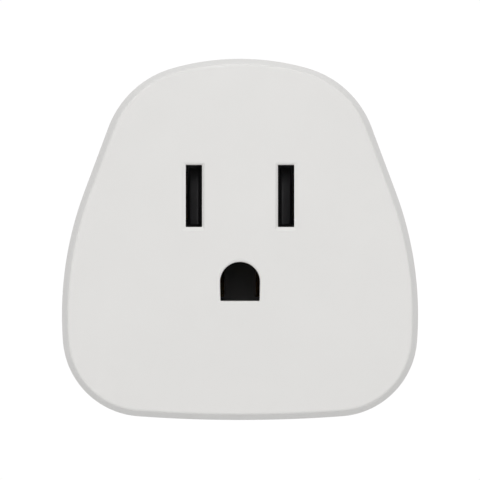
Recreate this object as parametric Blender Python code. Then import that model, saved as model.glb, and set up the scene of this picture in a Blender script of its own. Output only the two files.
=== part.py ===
"""Plug-in power meter: a metering plug with a grounded outlet in front and three blades behind.

Frame: the origin is the middle of the flat wall face, +Y points into the wall along the blades,
+Z is up, and +X is to the right as seen from the outlet side. Lengths are in metres.
Depths called "deep" are measured behind the outlet face, so the outlet face is at depth 0.
"""

import math

import bmesh
import bpy
from mathutils import Matrix, Vector

# Case
BODY_DEPTH = 0.0380  # outlet face to wall face
PARTING_DEPTH = 0.0130  # outlet face to the joint between the two shells
PARTING_GAP = 0.0002
WALL = 0.0020
FACE_WALL = 0.0022
BACK_WALL = 0.0022
FRONT_DRAFT = 0.00094  # how much narrower the front shell is at its face
REAR_DRAFT = 0.0008  # how much narrower the rear shell is at the wall
FACE_FILLET = 0.00038
BACK_FILLET = 0.0012
TONGUE_LENGTH = 0.0020
TONGUE_OUTSIDE = 0.00115  # inset of the tongue's outer side from the case outline
FIT = 0.0002  # clearance around pieces that slide together

# Case outline at the parting line: tangent arcs, clockwise from the top
CASE_TOP = 0.02514
TOP_RADIUS = 0.0343
SHOULDER_RADIUS = 0.0134
FLANK_LENGTH = 0.00967
FLANK_RADIUS = 0.04885
CORNER_RADIUS = 0.0113
SHOULDER_START = math.radians(16.0)  # headings, turned clockwise from +X
FLANK_START = math.radians(69.5)
CORNER_START = math.radians(94.3)
BOTTOM_START = math.radians(175.8)

# Outlet and blades: 12.7 mm between the blades, 11.89 mm from their line to the ground pin
BLADE_X = 0.00635
BLADE_Z = 0.00597
GROUND_Z = BLADE_Z - 0.01189
SLOT_WIDTH = 0.00225
SLOT_HEIGHT = 0.00855
LEAD_DEPTH = 0.00025  # how deep the openings' sloped edges go
LEAD_OUTER = 0.00045  # width of the slope on a slot's side away from the centre
LEAD_INNER = 0.00035
LEAD_TOP = 0.00045
LEAD_LOW = 0.00055
GROUND_HOLE_RADIUS = 0.00275
GROUND_HOLE_Z = GROUND_Z + 0.00006
GROUND_HOLE_DROP = 0.00262  # flat edge below the arc's centre
GROUND_HOLE_TAPER = 0.00006  # how far each side closes in towards the flat edge
BLADE_THICKNESS = 0.00152
BLADE_WIDTH = 0.00635
BLADE_LENGTH = 0.0175
GROUND_PIN_RADIUS = 0.00238
GROUND_PIN_LENGTH = 0.0210

# Boards and fasteners
BOARD_DEPTH = 0.0240  # front side of the power board
BOARD_THICKNESS = 0.0016
BOARD_BACK = BOARD_DEPTH + BOARD_THICKNESS
BOSS_RADIUS = 0.0023
BOSS_MEETING_DEPTH = 0.0280
CASE_SCREW_SPOTS = ((0.0, 0.0195), (-0.0128, -0.0196), (0.0128, -0.0196))
BOARD_SCREW_SPOTS = ((-0.0130, 0.0130), (0.0130, 0.0130))
SCREW_RADIUS = 0.00115
SCREW_HEAD_RADIUS = 0.0021
SCREW_HEAD_DEPTH = 0.0336  # underside of the case screws' heads
REAR_BOSS_RADII = (0.0030, 0.0032)
POST_RADII = (0.0020, 0.0024)  # the posts that the board is screwed to
SHOULDER_DEPTHS = (0.0343, 0.0355)  # the blades' shoulders and the pin's flange
TAIL_END = BOARD_DEPTH - 0.0004  # the blades' and the pin's tails stand a little out of the board

# Outlet: shutters and contacts
GUIDE_X = 0.0128
GUIDE_Z = (-0.0032, 0.0120)
GUIDE_DEPTHS = (0.0025, 0.0074)
GUIDE_FLOOR = 0.0064
GUIDE_RIB = 0.0008  # ribs on the cover that the tray sits between, and their clearance
GUIDE_GAP = 0.0003
SHUTTER_PLATE = (0.0048, 0.0061)
SHUTTER_Z = (0.0012, 0.0108)
RAMP_ABOVE_SLOT_END = 0.0004  # the shutter's ramp begins this far above the slot's lower end
RAMP_BELOW_SLOT_END = 0.0028  # and steps down to half its height this far below its upper end
RAMP_STEP = 0.0007
ARM_Z = (-0.0019, 0.0009)
CARRIER_X = 0.0098
CARRIER_DEPTHS = (0.0077, 0.0234)
CARRIER_Z = (-0.0108, 0.0116)
CARRIER_FLOOR = 0.0217
CONTACT_THICKNESS = 0.0006
CONTACT_WEB = 0.0212
BLADE_CONTACT_GAP = 0.00050  # half the gap between the leaves where they grip
GROUND_CONTACT_GAP = 0.00220

# Button, light and armature
BUTTON_Z = -0.0096
BUTTON_DEPTH = 0.0292
LIGHT_Z = -0.0026
BUTTON_CAP = (0.0038, 0.0074)
SWITCH_FACE = 0.0190
PLUNGER_TIP = 0.0207
ARMATURE_PIVOT_DEPTH = 0.0220
ARMATURE_PIVOT_Z = -0.0039

# Relay, standing on the front of the power board
RELAY_X = (0.0103, 0.0204)
RELAY_Z = (-0.0164, 0.0014)
RELAY_TOP_DEPTH = 0.0114
RELAY_WALL = 0.0006
RELAY_CORE_X = sum(RELAY_X) / 2
RELAY_CORE_DEPTH = 0.0176
CONTACT_DEPTH = 0.0133

ROUND_SIDES = 20


# ---------------------------------------------------------------- materials


def plastic(name, colour, roughness=0.5):
    return surface(name, colour, roughness, 0.0)


def metal(name, colour, roughness=0.3):
    return surface(name, colour, roughness, 1.0)


def surface(name, colour, roughness, metallic):
    material = bpy.data.materials.new(name)
    material.use_nodes = True
    shader = material.node_tree.nodes["Principled BSDF"]
    shader.inputs["Base Color"].default_value = (*colour, 1.0)
    shader.inputs["Roughness"].default_value = roughness
    shader.inputs["Metallic"].default_value = metallic
    return material


# ---------------------------------------------------------------- shape tools


def deep(depth):
    """The Y of a plane this far behind the outlet face."""
    return depth - BODY_DEPTH


def deep_range(near, far):
    return deep(near), deep(far)


def new_object(name, mesh, material):
    """An object from a bmesh, with smooth round faces and its material."""
    bmesh.ops.recalc_face_normals(mesh, faces=mesh.faces)
    data = bpy.data.meshes.new(name)
    mesh.to_mesh(data)
    mesh.free()
    data.shade_smooth()
    data.set_sharp_from_angle(angle=math.radians(30))
    if material:
        data.materials.append(material)
    piece = bpy.data.objects.new(name, data)
    bpy.context.scene.collection.objects.link(piece)
    return piece


def loft(name, rings, material=None):
    """A closed solid through rings of equal length, capped on the first and the last."""
    mesh = bmesh.new()
    layers = [[mesh.verts.new(point) for point in ring] for ring in rings]
    for near, far in zip(layers, layers[1:]):
        for i in range(len(near)):
            j = (i + 1) % len(near)
            mesh.faces.new((near[i], near[j], far[j], far[i]))
    mesh.faces.new(layers[0])
    mesh.faces.new(layers[-1])
    return new_object(name, mesh, material)


def along(axis, outline, position):
    """An outline in the plane across an axis. Its pairs are (x, z), (x, y) or (y, z) in that order."""
    if axis == "Y":
        return [(u, position, v) for u, v in outline]
    if axis == "Z":
        return [(u, v, position) for u, v in outline]
    return [(position, u, v) for u, v in outline]


def prism(name, axis, outline, start, end, material=None):
    """An outline pushed along an axis from start to end."""
    return loft(name, [along(axis, outline, start), along(axis, outline, end)], material)


def block(name, x, y, z, material=None):
    """A box from its three ranges."""
    outline = rectangle(*x, *z)
    return prism(name, "Y", outline, *y, material)


def rectangle(left, right, low, high):
    return [(left, low), (right, low), (right, high), (left, high)]


def arc(centre, radius, start, end, steps):
    """Points on a circle, at angles in degrees, both ends included."""
    angles = [math.radians(start + (end - start) * i / steps) for i in range(steps + 1)]
    return [(centre[0] + radius * math.cos(a), centre[1] + radius * math.sin(a)) for a in angles]


def circle(centre, radius, sides=ROUND_SIDES):
    return arc(centre, radius, 0, 360, sides)[:-1]


def turned(name, axis, centre, profile, material=None, sides=ROUND_SIDES):
    """A round solid about an axis, from (radius, position) pairs along it."""
    rings = [along(axis, circle(centre, radius, sides), position) for radius, position in profile]
    return loft(name, rings, material)


def rounded_rectangle(centre, width, height, radius, steps=3):
    half_width = width / 2 - radius
    half_height = height / 2 - radius
    corners = ((1, 1, 0), (-1, 1, 90), (-1, -1, 180), (1, -1, 270))
    points = []
    for side, rise, start in corners:
        corner = (centre[0] + side * half_width, centre[1] + rise * half_height)
        points += arc(corner, radius, start, start + 90, steps)
    return points


def strip(path, thickness):
    """The outline of a metal strip of this thickness bent along a path, mitred at its bends."""
    path = [Vector(point) for point in path]
    sides = []
    for i, point in enumerate(path):
        before = (point - path[i - 1]).normalized() if i > 0 else None
        after = (path[i + 1] - point).normalized() if i < len(path) - 1 else None
        before = before or after
        after = after or before
        heading = (before + after).normalized()
        normal = Vector((-heading.y, heading.x))
        reach = thickness / 2 / max(0.3, normal.dot(Vector((-after.y, after.x))))
        sides.append((point + normal * reach, point - normal * reach))
    return [tuple(left) for left, _ in sides] + [tuple(right) for _, right in reversed(sides)]


def combine(target, tool, operation):
    """Adds a Boolean modifier and hides the tool."""
    modifier = target.modifiers.new(tool.name, "BOOLEAN")
    modifier.operation = operation
    modifier.object = tool
    tool.hide_render = True
    tool.display_type = "WIRE"


def cut(target, *tools):
    for tool in tools:
        combine(target, tool, "DIFFERENCE")


def fuse(target, *tools):
    for tool in tools:
        combine(target, tool, "UNION")


def empty(name, location, parent=None):
    guide = bpy.data.objects.new(name, None)
    guide.empty_display_size = 0.005
    bpy.context.scene.collection.objects.link(guide)
    guide.parent = parent
    guide.location = Vector(location) - (parent.location if parent else Vector())
    return guide


def hang(piece, pivot):
    """Parents a piece to an empty and moves the piece's own origin there."""
    shift = Matrix.Translation(-pivot["place"])
    if piece.type == "MESH":
        piece.data.transform(shift)
        piece.location = Vector()
    else:
        piece.location -= pivot["place"]
    piece.parent = pivot["guide"]


def pivot_at(name, place, parent):
    place = Vector(place)
    return {"place": place, "guide": empty(name, place, parent)}


# ---------------------------------------------------------------- case outline


def case_outline(inset):
    """(x, z) points of the case outline moved inwards by inset, clockwise from the top centre."""
    place = Vector((0.0, CASE_TOP))
    heading = 0.0
    half = [(place.copy(), heading)]

    def sweep(radius, until, steps):
        nonlocal place, heading
        centre = place - radius * Vector((math.sin(heading), math.cos(heading)))
        start = heading
        for i in range(1, steps + 1):
            heading = start + (until - start) * i / steps
            place = centre + radius * Vector((math.sin(heading), math.cos(heading)))
            half.append((place.copy(), heading))

    sweep(TOP_RADIUS, SHOULDER_START, 4)
    sweep(SHOULDER_RADIUS, FLANK_START, 8)
    place = place + FLANK_LENGTH * Vector((math.cos(heading), -math.sin(heading)))
    half.append((place.copy(), heading))
    sweep(FLANK_RADIUS, CORNER_START, 5)
    sweep(CORNER_RADIUS, BOTTOM_START, 10)
    sweep(place.x / math.sin(math.pi - BOTTOM_START), math.pi, 2)

    inner = [point - inset * Vector((math.sin(turn), math.cos(turn))) for point, turn in half]
    right = [(point.x, point.y) for point in inner]
    left = [(-x, z) for x, z in reversed(right[1:-1])]
    right[0] = (0.0, right[0][1])
    right[-1] = (0.0, right[-1][1])
    return right + left


def case_ring(inset, depth):
    return along("Y", case_outline(inset), deep(depth))


def front_inset(depth):
    """How far the front shell's outside has drawn in at this depth."""
    return FRONT_DRAFT * (PARTING_DEPTH - depth) / (PARTING_DEPTH - FACE_FILLET)


def rear_inset(depth):
    """How far the rear shell's outside has drawn in at this depth."""
    return REAR_DRAFT * (depth - PARTING_DEPTH) / (BODY_DEPTH - BACK_FILLET - PARTING_DEPTH)


def flank_x(z, inset):
    """Half the case's width at a height, for an outline moved inwards by inset."""
    points = [p for p in case_outline(inset) if p[0] >= 0]
    for (x0, z0), (x1, z1) in zip(points, points[1:]):
        if z1 <= z <= z0:
            return x0 + (x1 - x0) * (z - z0) / (z1 - z0)
    return 0.0


def ground_hole(extra=0.0, raised=0.0):
    """The ground hole's outline, larger by extra all round, with its arc raised a further distance.

    It is a half circle over sides that close in slightly towards a flat bottom.
    """
    radius = GROUND_HOLE_RADIUS + extra
    foot = radius - GROUND_HOLE_TAPER
    bottom = GROUND_HOLE_Z - GROUND_HOLE_DROP - extra
    return arc((0.0, GROUND_HOLE_Z + raised), radius, 0, 180, 14) + [(-foot, bottom), (foot, bottom)]


def slot_outline(side, extra=0.0):
    half_width = SLOT_WIDTH / 2 + extra
    half_height = SLOT_HEIGHT / 2 + extra
    x = side * BLADE_X
    return rectangle(x - half_width, x + half_width, BLADE_Z - half_height, BLADE_Z + half_height)


def slot_mouth(side):
    """The slot's outline at the face, beyond its sloped edges."""
    outer = side * (BLADE_X + SLOT_WIDTH / 2 + LEAD_OUTER)
    inner = side * (BLADE_X - SLOT_WIDTH / 2 - LEAD_INNER)
    low = BLADE_Z - SLOT_HEIGHT / 2 - LEAD_LOW
    high = BLADE_Z + SLOT_HEIGHT / 2 + LEAD_TOP
    return rectangle(min(outer, inner), max(outer, inner), low, high)


def outlet_opening(name, mouth, outline):
    """A cutter for an opening in the outlet face, from its mouth down a slope and straight through."""
    return loft(
        name,
        [
            along("Y", mouth, deep(-0.0005)),
            along("Y", mouth, deep(0.0)),
            along("Y", outline, deep(LEAD_DEPTH)),
            along("Y", outline, deep(FACE_WALL + 0.0004)),
        ],
    )


# ---------------------------------------------------------------- case pieces


def front_cover(material):
    """The outlet face and its drafted rim, with a rebate that the rear housing's tongue enters."""
    rim = PARTING_DEPTH - PARTING_GAP / 2
    rebate_inset = TONGUE_OUTSIDE - FIT
    rebate_floor = rim - TONGUE_LENGTH
    rings = []
    for turn in (90, 60, 30, 0):
        swing = math.radians(turn)
        inset = FRONT_DRAFT + FACE_FILLET * (1 - math.cos(swing))
        rings.append(case_ring(inset, FACE_FILLET * (1 - math.sin(swing))))
    rings += [
        case_ring(0.0, rim),
        case_ring(rebate_inset, rim),
        case_ring(rebate_inset, rebate_floor),
        case_ring(WALL + front_inset(rebate_floor), rebate_floor),
        case_ring(WALL + front_inset(FACE_WALL), FACE_WALL),
    ]
    cover = loft("front_cover", rings, material)
    root = FACE_WALL - 0.0006
    for i, spot in enumerate(CASE_SCREW_SPOTS, 1):
        boss = turned(
            f"front_boss_{i}",
            "Y",
            spot,
            [(BOSS_RADIUS + 0.0004, deep(root)), (BOSS_RADIUS, deep(BOSS_MEETING_DEPTH - FIT / 2))],
            sides=16,
        )
        pilot = turned(
            f"front_pilot_{i}",
            "Y",
            spot,
            [(SCREW_RADIUS + 0.00015, deep(0.0190)), (SCREW_RADIUS + 0.00015, deep(0.0300))],
            sides=16,
        )
        fuse(cover, boss)
        cut(cover, pilot)
    near = GUIDE_X + GUIDE_GAP
    below = GUIDE_Z[0] - GUIDE_GAP
    above = GUIDE_Z[1] + GUIDE_GAP
    for name, x, z in (
        ("left_rib", (-near - GUIDE_RIB, -near), (0.0005, 0.0085)),
        ("right_rib", (near, near + GUIDE_RIB), (0.0005, 0.0085)),
        ("top_rib", (-0.0040, 0.0040), (above, above + GUIDE_RIB)),
        ("bottom_left_rib", (-0.0090, -0.0050), (below - GUIDE_RIB, below)),
        ("bottom_right_rib", (0.0050, 0.0090), (below - GUIDE_RIB, below)),
    ):
        fuse(cover, block(name, x, deep_range(root, 0.0070), z))
    for side, name in ((-1, "neutral"), (1, "line")):
        cut(cover, outlet_opening(f"{name}_slot", slot_mouth(side), slot_outline(side)))
    cut(cover, outlet_opening("ground_opening", ground_hole(0.0002, 0.0002), ground_hole()))
    return cover


def rear_housing(material):
    """The deep rear shell: tongue, screw bosses, board posts and holes for blades, button and light."""
    start = PARTING_DEPTH + PARTING_GAP / 2
    tongue_tip = PARTING_DEPTH - TONGUE_LENGTH + PARTING_GAP / 2
    tongue_inside = TONGUE_OUTSIDE + 0.00095
    floor = BODY_DEPTH - BACK_WALL
    rings = [
        case_ring(WALL + rear_inset(floor), floor),
        case_ring(tongue_inside, tongue_tip),
        case_ring(TONGUE_OUTSIDE, tongue_tip),
        case_ring(TONGUE_OUTSIDE, start),
        case_ring(0.0, start),
    ]
    for turn in (0, 30, 60, 90):
        swing = math.radians(turn)
        inset = REAR_DRAFT + BACK_FILLET * (1 - math.cos(swing))
        rings.append(case_ring(inset, BODY_DEPTH - BACK_FILLET * (1 - math.sin(swing))))
    housing = loft("rear_housing", rings, material)

    root = floor + 0.0006
    for i, spot in enumerate(CASE_SCREW_SPOTS, 1):
        boss = turned(
            f"rear_boss_{i}",
            "Y",
            spot,
            [(REAR_BOSS_RADII[0], deep(BOSS_MEETING_DEPTH + FIT / 2)), (REAR_BOSS_RADII[1], deep(root))],
            sides=18,
        )
        bore = turned(
            f"screw_bore_{i}",
            "Y",
            spot,
            [
                (SCREW_RADIUS + 0.00025, deep(BOSS_MEETING_DEPTH - 0.0010)),
                (SCREW_RADIUS + 0.00025, deep(SCREW_HEAD_DEPTH - 0.0001)),
                (SCREW_HEAD_RADIUS + 0.0003, deep(SCREW_HEAD_DEPTH - 0.0001)),
                (SCREW_HEAD_RADIUS + 0.0003, deep(BODY_DEPTH - 0.0003)),
                (SCREW_HEAD_RADIUS + 0.0008, deep(BODY_DEPTH + 0.0002)),
            ],
            sides=18,
        )
        fuse(housing, boss)
        cut(housing, bore)
    for i, spot in enumerate(BOARD_SCREW_SPOTS, 1):
        post = turned(
            f"board_post_{i}",
            "Y",
            spot,
            [(POST_RADII[0], deep(BOARD_BACK + FIT)), (POST_RADII[1], deep(root))],
            sides=16,
        )
        pilot = turned(
            f"board_pilot_{i}",
            "Y",
            spot,
            [(0.0011, deep(BOARD_BACK - 0.001)), (0.0011, deep(BOARD_BACK + 0.0072))],
            sides=16,
        )
        fuse(housing, post)
        cut(housing, pilot)

    through = deep_range(floor - 0.001, BODY_DEPTH + 0.001)
    half_slot = BLADE_THICKNESS / 2 + FIT
    half_blade = BLADE_WIDTH / 2 + FIT
    for side, name in ((-1, "neutral"), (1, "line")):
        x = side * BLADE_X
        cut(
            housing,
            block(
                f"{name}_blade_hole",
                (x - half_slot, x + half_slot),
                through,
                (BLADE_Z - half_blade, BLADE_Z + half_blade),
            ),
        )
    pin_hole = [(GROUND_PIN_RADIUS + FIT, y) for y in through]
    cut(housing, turned("ground_pin_hole", "Y", (0.0, GROUND_Z), pin_hole, sides=24))
    cut(housing, rating_recess())

    cut(housing, prism("button_hole", "X", button_outline(FIT), 0.0200, 0.0260))
    light_hole = [(0.0011, 0.0195), (0.0011, 0.0260)]
    cut(housing, turned("light_hole", "X", (deep(BUTTON_DEPTH), LIGHT_Z), light_hole, sides=16))
    return housing


def rating_recess():
    """The shallow moulded panel above the blades where a maker would print the ratings."""
    outline = rounded_rectangle((0.0, 0.0138), 0.0180, 0.0044, 0.0010)
    return prism("rating_recess", "Y", outline, deep(BODY_DEPTH - 0.0003), deep(BODY_DEPTH + 0.001))


def button_outline(extra=0.0):
    """The side button's pill shape, as (y, z), larger by extra all round."""
    width, height = (size + 2 * extra for size in BUTTON_CAP)
    return rounded_rectangle((deep(BUTTON_DEPTH), BUTTON_Z), width, height, width / 2, 5)


def screw(name, spot, under_head, head_height, head_radius, radius, tip, head_side, material):
    """A pan-head screw with a cross recess. head_side is +1 when its head is on the wall's side."""
    top = under_head + head_side * head_height
    rim = under_head + head_side * head_height * 0.55
    profile = [
        (head_radius * 0.62, deep(top)),
        (head_radius, deep(rim)),
        (head_radius, deep(under_head)),
        (radius, deep(under_head)),
        (radius, deep(tip + head_side * 0.0012)),
        (radius * 0.35, deep(tip)),
    ]
    piece = turned(name, "Y", spot, profile, material, sides=16)
    arm = head_radius * 0.52
    half = 0.00028
    bottom = top - head_side * head_height * 0.55
    reach = sorted((deep(bottom), deep(top + head_side * 0.0003)))
    x, z = spot
    cross = [
        (arm, half), (half, half), (half, arm), (-half, arm), (-half, half), (-arm, half),
        (-arm, -half), (-half, -half), (-half, -arm), (half, -arm), (half, -half), (arm, -half),
    ]
    cut(piece, prism(name + "_recess", "Y", [(x + u, z + v) for u, v in cross], *reach))
    return piece


def case_screws(material):
    for i, spot in enumerate(CASE_SCREW_SPOTS, 1):
        yield screw(
            f"case_screw_{i}",
            spot,
            under_head=SCREW_HEAD_DEPTH,
            head_height=0.0016,
            head_radius=SCREW_HEAD_RADIUS,
            radius=SCREW_RADIUS,
            tip=0.0200,
            head_side=1,
            material=material,
        )


def board_screws(material):
    for i, spot in enumerate(BOARD_SCREW_SPOTS, 1):
        yield screw(
            f"board_screw_{i}",
            spot,
            under_head=BOARD_DEPTH - 0.0001,
            head_height=0.0013,
            head_radius=0.0019,
            radius=0.00095,
            tip=0.0320,
            head_side=-1,
            material=material,
        )


# ---------------------------------------------------------------- blades


def blade(name, x, material):
    """A flat blade: a holed, chamfered tip, a shoulder behind the back wall and a tail through the board."""
    half = BLADE_WIDTH / 2
    half_shoulder = 0.0043
    half_tail = 0.0021
    tip_chamfer = 0.0011
    outline = [
        (deep(TAIL_END), -half_tail),
        (deep(SHOULDER_DEPTHS[0]), -half_tail),
        (deep(SHOULDER_DEPTHS[0]), -half_shoulder),
        (deep(SHOULDER_DEPTHS[1]), -half_shoulder),
        (deep(SHOULDER_DEPTHS[1]), -half),
        (BLADE_LENGTH - tip_chamfer, -half),
        (BLADE_LENGTH, -half + tip_chamfer),
    ]
    outline += [(y, -z) for y, z in reversed(outline)]
    outline = [(y, z + BLADE_Z) for y, z in outline]
    edge = (x - BLADE_THICKNESS / 2, x + BLADE_THICKNESS / 2)
    piece = prism(name, "X", outline, *edge, material)
    hole = [(0.0016, x - 0.002), (0.0016, x + 0.002)]
    cut(piece, turned(name + "_hole", "X", (0.0119, BLADE_Z), hole, sides=16))
    return piece


def ground_pin(material):
    """The round ground pin, longer than the blades, with a flange behind the back wall and a tail."""
    round_nose = []
    for turn in (15, 40, 65, 90):
        swing = math.radians(turn)
        radius = GROUND_PIN_RADIUS * math.sin(swing)
        round_nose.append((radius, GROUND_PIN_LENGTH - GROUND_PIN_RADIUS * (1 - math.cos(swing))))
    profile = round_nose + [
        (GROUND_PIN_RADIUS, deep(SHOULDER_DEPTHS[1])),
        (0.0034, deep(SHOULDER_DEPTHS[1])),
        (0.0034, deep(SHOULDER_DEPTHS[0])),
        (0.0015, deep(SHOULDER_DEPTHS[0])),
        (0.0015, deep(TAIL_END)),
    ]
    return turned("ground_pin", "Y", (0.0, GROUND_Z), profile, material, sides=24)


def blade_holder(material):
    """The insulating block that clamps the three shoulders against the back wall."""
    outline = rounded_rectangle((0.0, 0.0001), 0.0204, 0.0214, 0.0015)
    holder = prism("blade_holder", "Y", outline, *deep_range(0.0296, 0.0356), material)
    for side, name in ((-1, "neutral"), (1, "line")):
        x = side * BLADE_X
        for part, half_height, near in (("tail", 0.0023, 0.0290), ("shoulder", 0.0045, 0.0341)):
            cut(
                holder,
                block(
                    f"holder_{name}_{part}",
                    (x - BLADE_THICKNESS / 2 - FIT, x + BLADE_THICKNESS / 2 + FIT),
                    deep_range(near, 0.0362),
                    (BLADE_Z - half_height, BLADE_Z + half_height),
                ),
            )
    seat = [
        (0.0017, deep(0.0290)),
        (0.0017, deep(0.0341)),
        (0.0036, deep(0.0341)),
        (0.0036, deep(0.0362)),
    ]
    cut(holder, turned("holder_ground_seat", "Y", (0.0, GROUND_Z), seat, sides=20))
    return holder


# ---------------------------------------------------------------- outlet: shutters and contacts


def shutter_guide(material):
    """The tray behind the outlet face that the two shutters slide in, with the springs' centre post."""
    tray = block("shutter_guide", (-GUIDE_X, GUIDE_X), deep_range(*GUIDE_DEPTHS), GUIDE_Z, material)
    pocket_end = GUIDE_X - 0.0010
    recess = block(
        "guide_recess",
        (-pocket_end, pocket_end),
        deep_range(0.0020, GUIDE_FLOOR),
        (SHUTTER_Z[0] - 0.0034, SHUTTER_Z[1] + 0.0003),
    )
    cut(tray, recess)
    post = block(
        "spring_post", (-0.0005, 0.0005), deep_range(0.0029, 0.0068), (ARM_Z[0] - 0.0008, ARM_Z[1])
    )
    fuse(tray, post)
    through = deep_range(0.0060, 0.0080)
    for side, name in ((-1, "neutral"), (1, "line")):
        cut(tray, prism(f"guide_{name}_slot", "Y", slot_outline(side, FIT), *through))
    # The ground pin passes below the tray's recess, through a notch in the lower wall.
    cut(tray, prism("guide_ground_notch", "Y", ground_hole(0.0004), *deep_range(0.0020, 0.0080)))
    return tray


def shutter(name, side, material):
    """A sliding shutter: a plate with a window beside a ramp, and an arm its spring pushes on.

    The ramp stands behind the slot and falls away outwards, so a blade pushes the shutter inwards
    until the window stands behind the slot.
    """

    def span(near, far):
        return tuple(sorted((side * near, side * far)))

    plate_depths = deep_range(*SHUTTER_PLATE)
    plate = block(name, span(0.0042, 0.0114), plate_depths, SHUTTER_Z, material)
    window = block(
        name + "_window",
        span(0.00725, 0.01025),
        deep_range(0.0040, 0.0070),
        (SHUTTER_Z[0] + 0.0005, SHUTTER_Z[1] - 0.0005),
    )
    cut(plate, window)
    foot = deep(SHUTTER_PLATE[0] + 0.0004)
    profile = [
        (side * 0.0055, foot),
        (side * 0.0055, deep(0.0038)),
        (side * 0.0057, deep(0.0033)),
        (side * 0.0060, deep(0.0032)),
        (side * 0.0069, deep(0.0036)),
        (side * 0.0070, deep(0.0038)),
        (side * 0.0072, deep(SHUTTER_PLATE[0] - 0.0001)),
        (side * 0.0072, foot),
    ]
    low_profile = [(x, (foot + y) / 2) for x, y in profile]
    full_from = BLADE_Z - SLOT_HEIGHT / 2 + RAMP_ABOVE_SLOT_END
    full_to = BLADE_Z + SLOT_HEIGHT / 2 - RAMP_BELOW_SLOT_END
    rings = [
        along("Z", profile, full_from),
        along("Z", profile, full_to),
        along("Z", low_profile, full_to + RAMP_STEP),
        along("Z", low_profile, BLADE_Z + SLOT_HEIGHT / 2 + FIT),
    ]
    fuse(plate, loft(name + "_ramp", rings))
    arm = block(
        name + "_arm",
        span(0.0054, 0.0074),
        deep_range(0.0032, SHUTTER_PLATE[1] - 0.0002),
        (ARM_Z[0], SHUTTER_Z[0] + 0.0004),
    )
    fuse(plate, arm)
    return plate


def shutter_spring(name, side, material):
    """The small coil spring between the centre post and a shutter's arm."""
    wire = 0.00014
    radius = 0.00095
    first = 0.0008
    last = 0.0051
    turns = 5
    steps_per_turn = 8
    middle = (deep(0.0046), (ARM_Z[0] + ARM_Z[1]) / 2)
    curve = bpy.data.curves.new(name, "CURVE")
    curve.dimensions = "3D"
    curve.bevel_depth = wire
    curve.bevel_resolution = 1
    curve.use_fill_caps = True
    line = curve.splines.new("POLY")
    steps = turns * steps_per_turn
    line.points.add(steps)
    for i in range(steps + 1):
        angle = 2 * math.pi * i / steps_per_turn
        x = side * (first + (last - first) * i / steps)
        y = middle[0] + radius * math.cos(angle)
        z = middle[1] + radius * math.sin(angle)
        line.points[i].co = (x, y, z, 1.0)
    curve.materials.append(material)
    piece = bpy.data.objects.new(name, curve)
    bpy.context.scene.collection.objects.link(piece)
    return piece


def contact_carrier(material):
    """The insulating block that holds the three contacts, with pockets open towards the outlet face."""
    carrier = block(
        "contact_carrier", (-CARRIER_X, CARRIER_X), deep_range(*CARRIER_DEPTHS), CARRIER_Z, material
    )
    pocket = deep_range(CARRIER_DEPTHS[0] - 0.0005, CARRIER_FLOOR)
    through = deep_range(CARRIER_FLOOR - 0.0005, CARRIER_DEPTHS[1] + 0.0005)
    for side, name in ((-1, "neutral"), (1, "line")):
        x = side * BLADE_X
        z = (BLADE_Z - 0.0045, BLADE_Z + 0.0045)
        cut(carrier, block(f"{name}_pocket", (x - 0.0026, x + 0.0026), pocket, z))
        slot_x, slot_z = tail_slot(x, BLADE_Z, BLADE_CONTACT_GAP)
        cut(carrier, block(f"{name}_tail_way", slot_x, through, slot_z))
    cut(carrier, block("ground_pocket", (-0.0041, 0.0041), pocket, (GROUND_Z - 0.0032, GROUND_Z + 0.0038)))
    slot_x, slot_z = tail_slot(0.0, GROUND_Z, GROUND_CONTACT_GAP)
    cut(carrier, block("ground_tail_way", slot_x, through, slot_z))
    return carrier


def tail_slot(x, z, half_gap):
    """The slot for a contact's tail in the carrier and the board: its (x, z) ranges."""
    start = x + half_gap + CONTACT_THICKNESS / 2 + 0.0004
    return (start, start + 0.0009), (z - 0.0020, z + 0.0020)


def contact_tail(name, x, z, half_gap):
    """The solder tail beside a contact's right leaf."""
    start = x + half_gap + CONTACT_THICKNESS / 2 + 0.0006
    depths = deep_range(CONTACT_WEB - 0.0014, BOARD_BACK + 0.0008)
    return block(name + "_tail", (start, start + 0.0005), depths, (z - 0.0018, z + 0.0018))


def blade_contact(name, side, material):
    """A double-wipe contact: two leaves that grip the blade, joined at the back, and a solder tail."""
    x = side * BLADE_X
    leaf = BLADE_CONTACT_GAP + CONTACT_THICKNESS / 2
    mouth = 0.0018
    half_height = 0.0032
    right = [
        (x + mouth, deep(0.0094)),
        (x + leaf, deep(0.0118)),
        (x + leaf, deep(0.0142)),
        (x + leaf + 0.0004, deep(0.0180)),
        (x + leaf + 0.0004, deep(CONTACT_WEB)),
    ]
    left = [(2 * x - u, v) for u, v in reversed(right)]
    outline = strip(right + left, CONTACT_THICKNESS)
    clip = prism(name, "Z", outline, BLADE_Z - half_height, BLADE_Z + half_height, material)
    fuse(clip, contact_tail(name, x, BLADE_Z, BLADE_CONTACT_GAP))
    return clip


def ground_contact(material):
    """The ground contact: a sleeve bent over the pin, open below, narrowest where its sides grip."""
    top = GROUND_Z + 0.0032
    low = GROUND_Z - 0.0021
    rings = []
    for half_gap, depth in (
        (0.0030, 0.0126),
        (GROUND_CONTACT_GAP, 0.0146),
        (GROUND_CONTACT_GAP, 0.0164),
        (GROUND_CONTACT_GAP + 0.0004, 0.0186),
        (GROUND_CONTACT_GAP + 0.0004, CONTACT_WEB),
    ):
        leaf = half_gap + CONTACT_THICKNESS / 2
        path = [(leaf, low), (leaf, top), (-leaf, top), (-leaf, low)]
        rings.append(along("Y", strip(path, CONTACT_THICKNESS), deep(depth)))
    sleeve = loft("ground_contact", rings, material)
    fuse(sleeve, contact_tail("ground_contact", 0.0, GROUND_Z, GROUND_CONTACT_GAP))
    return sleeve


# ---------------------------------------------------------------- power board and what stands on it


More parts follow.
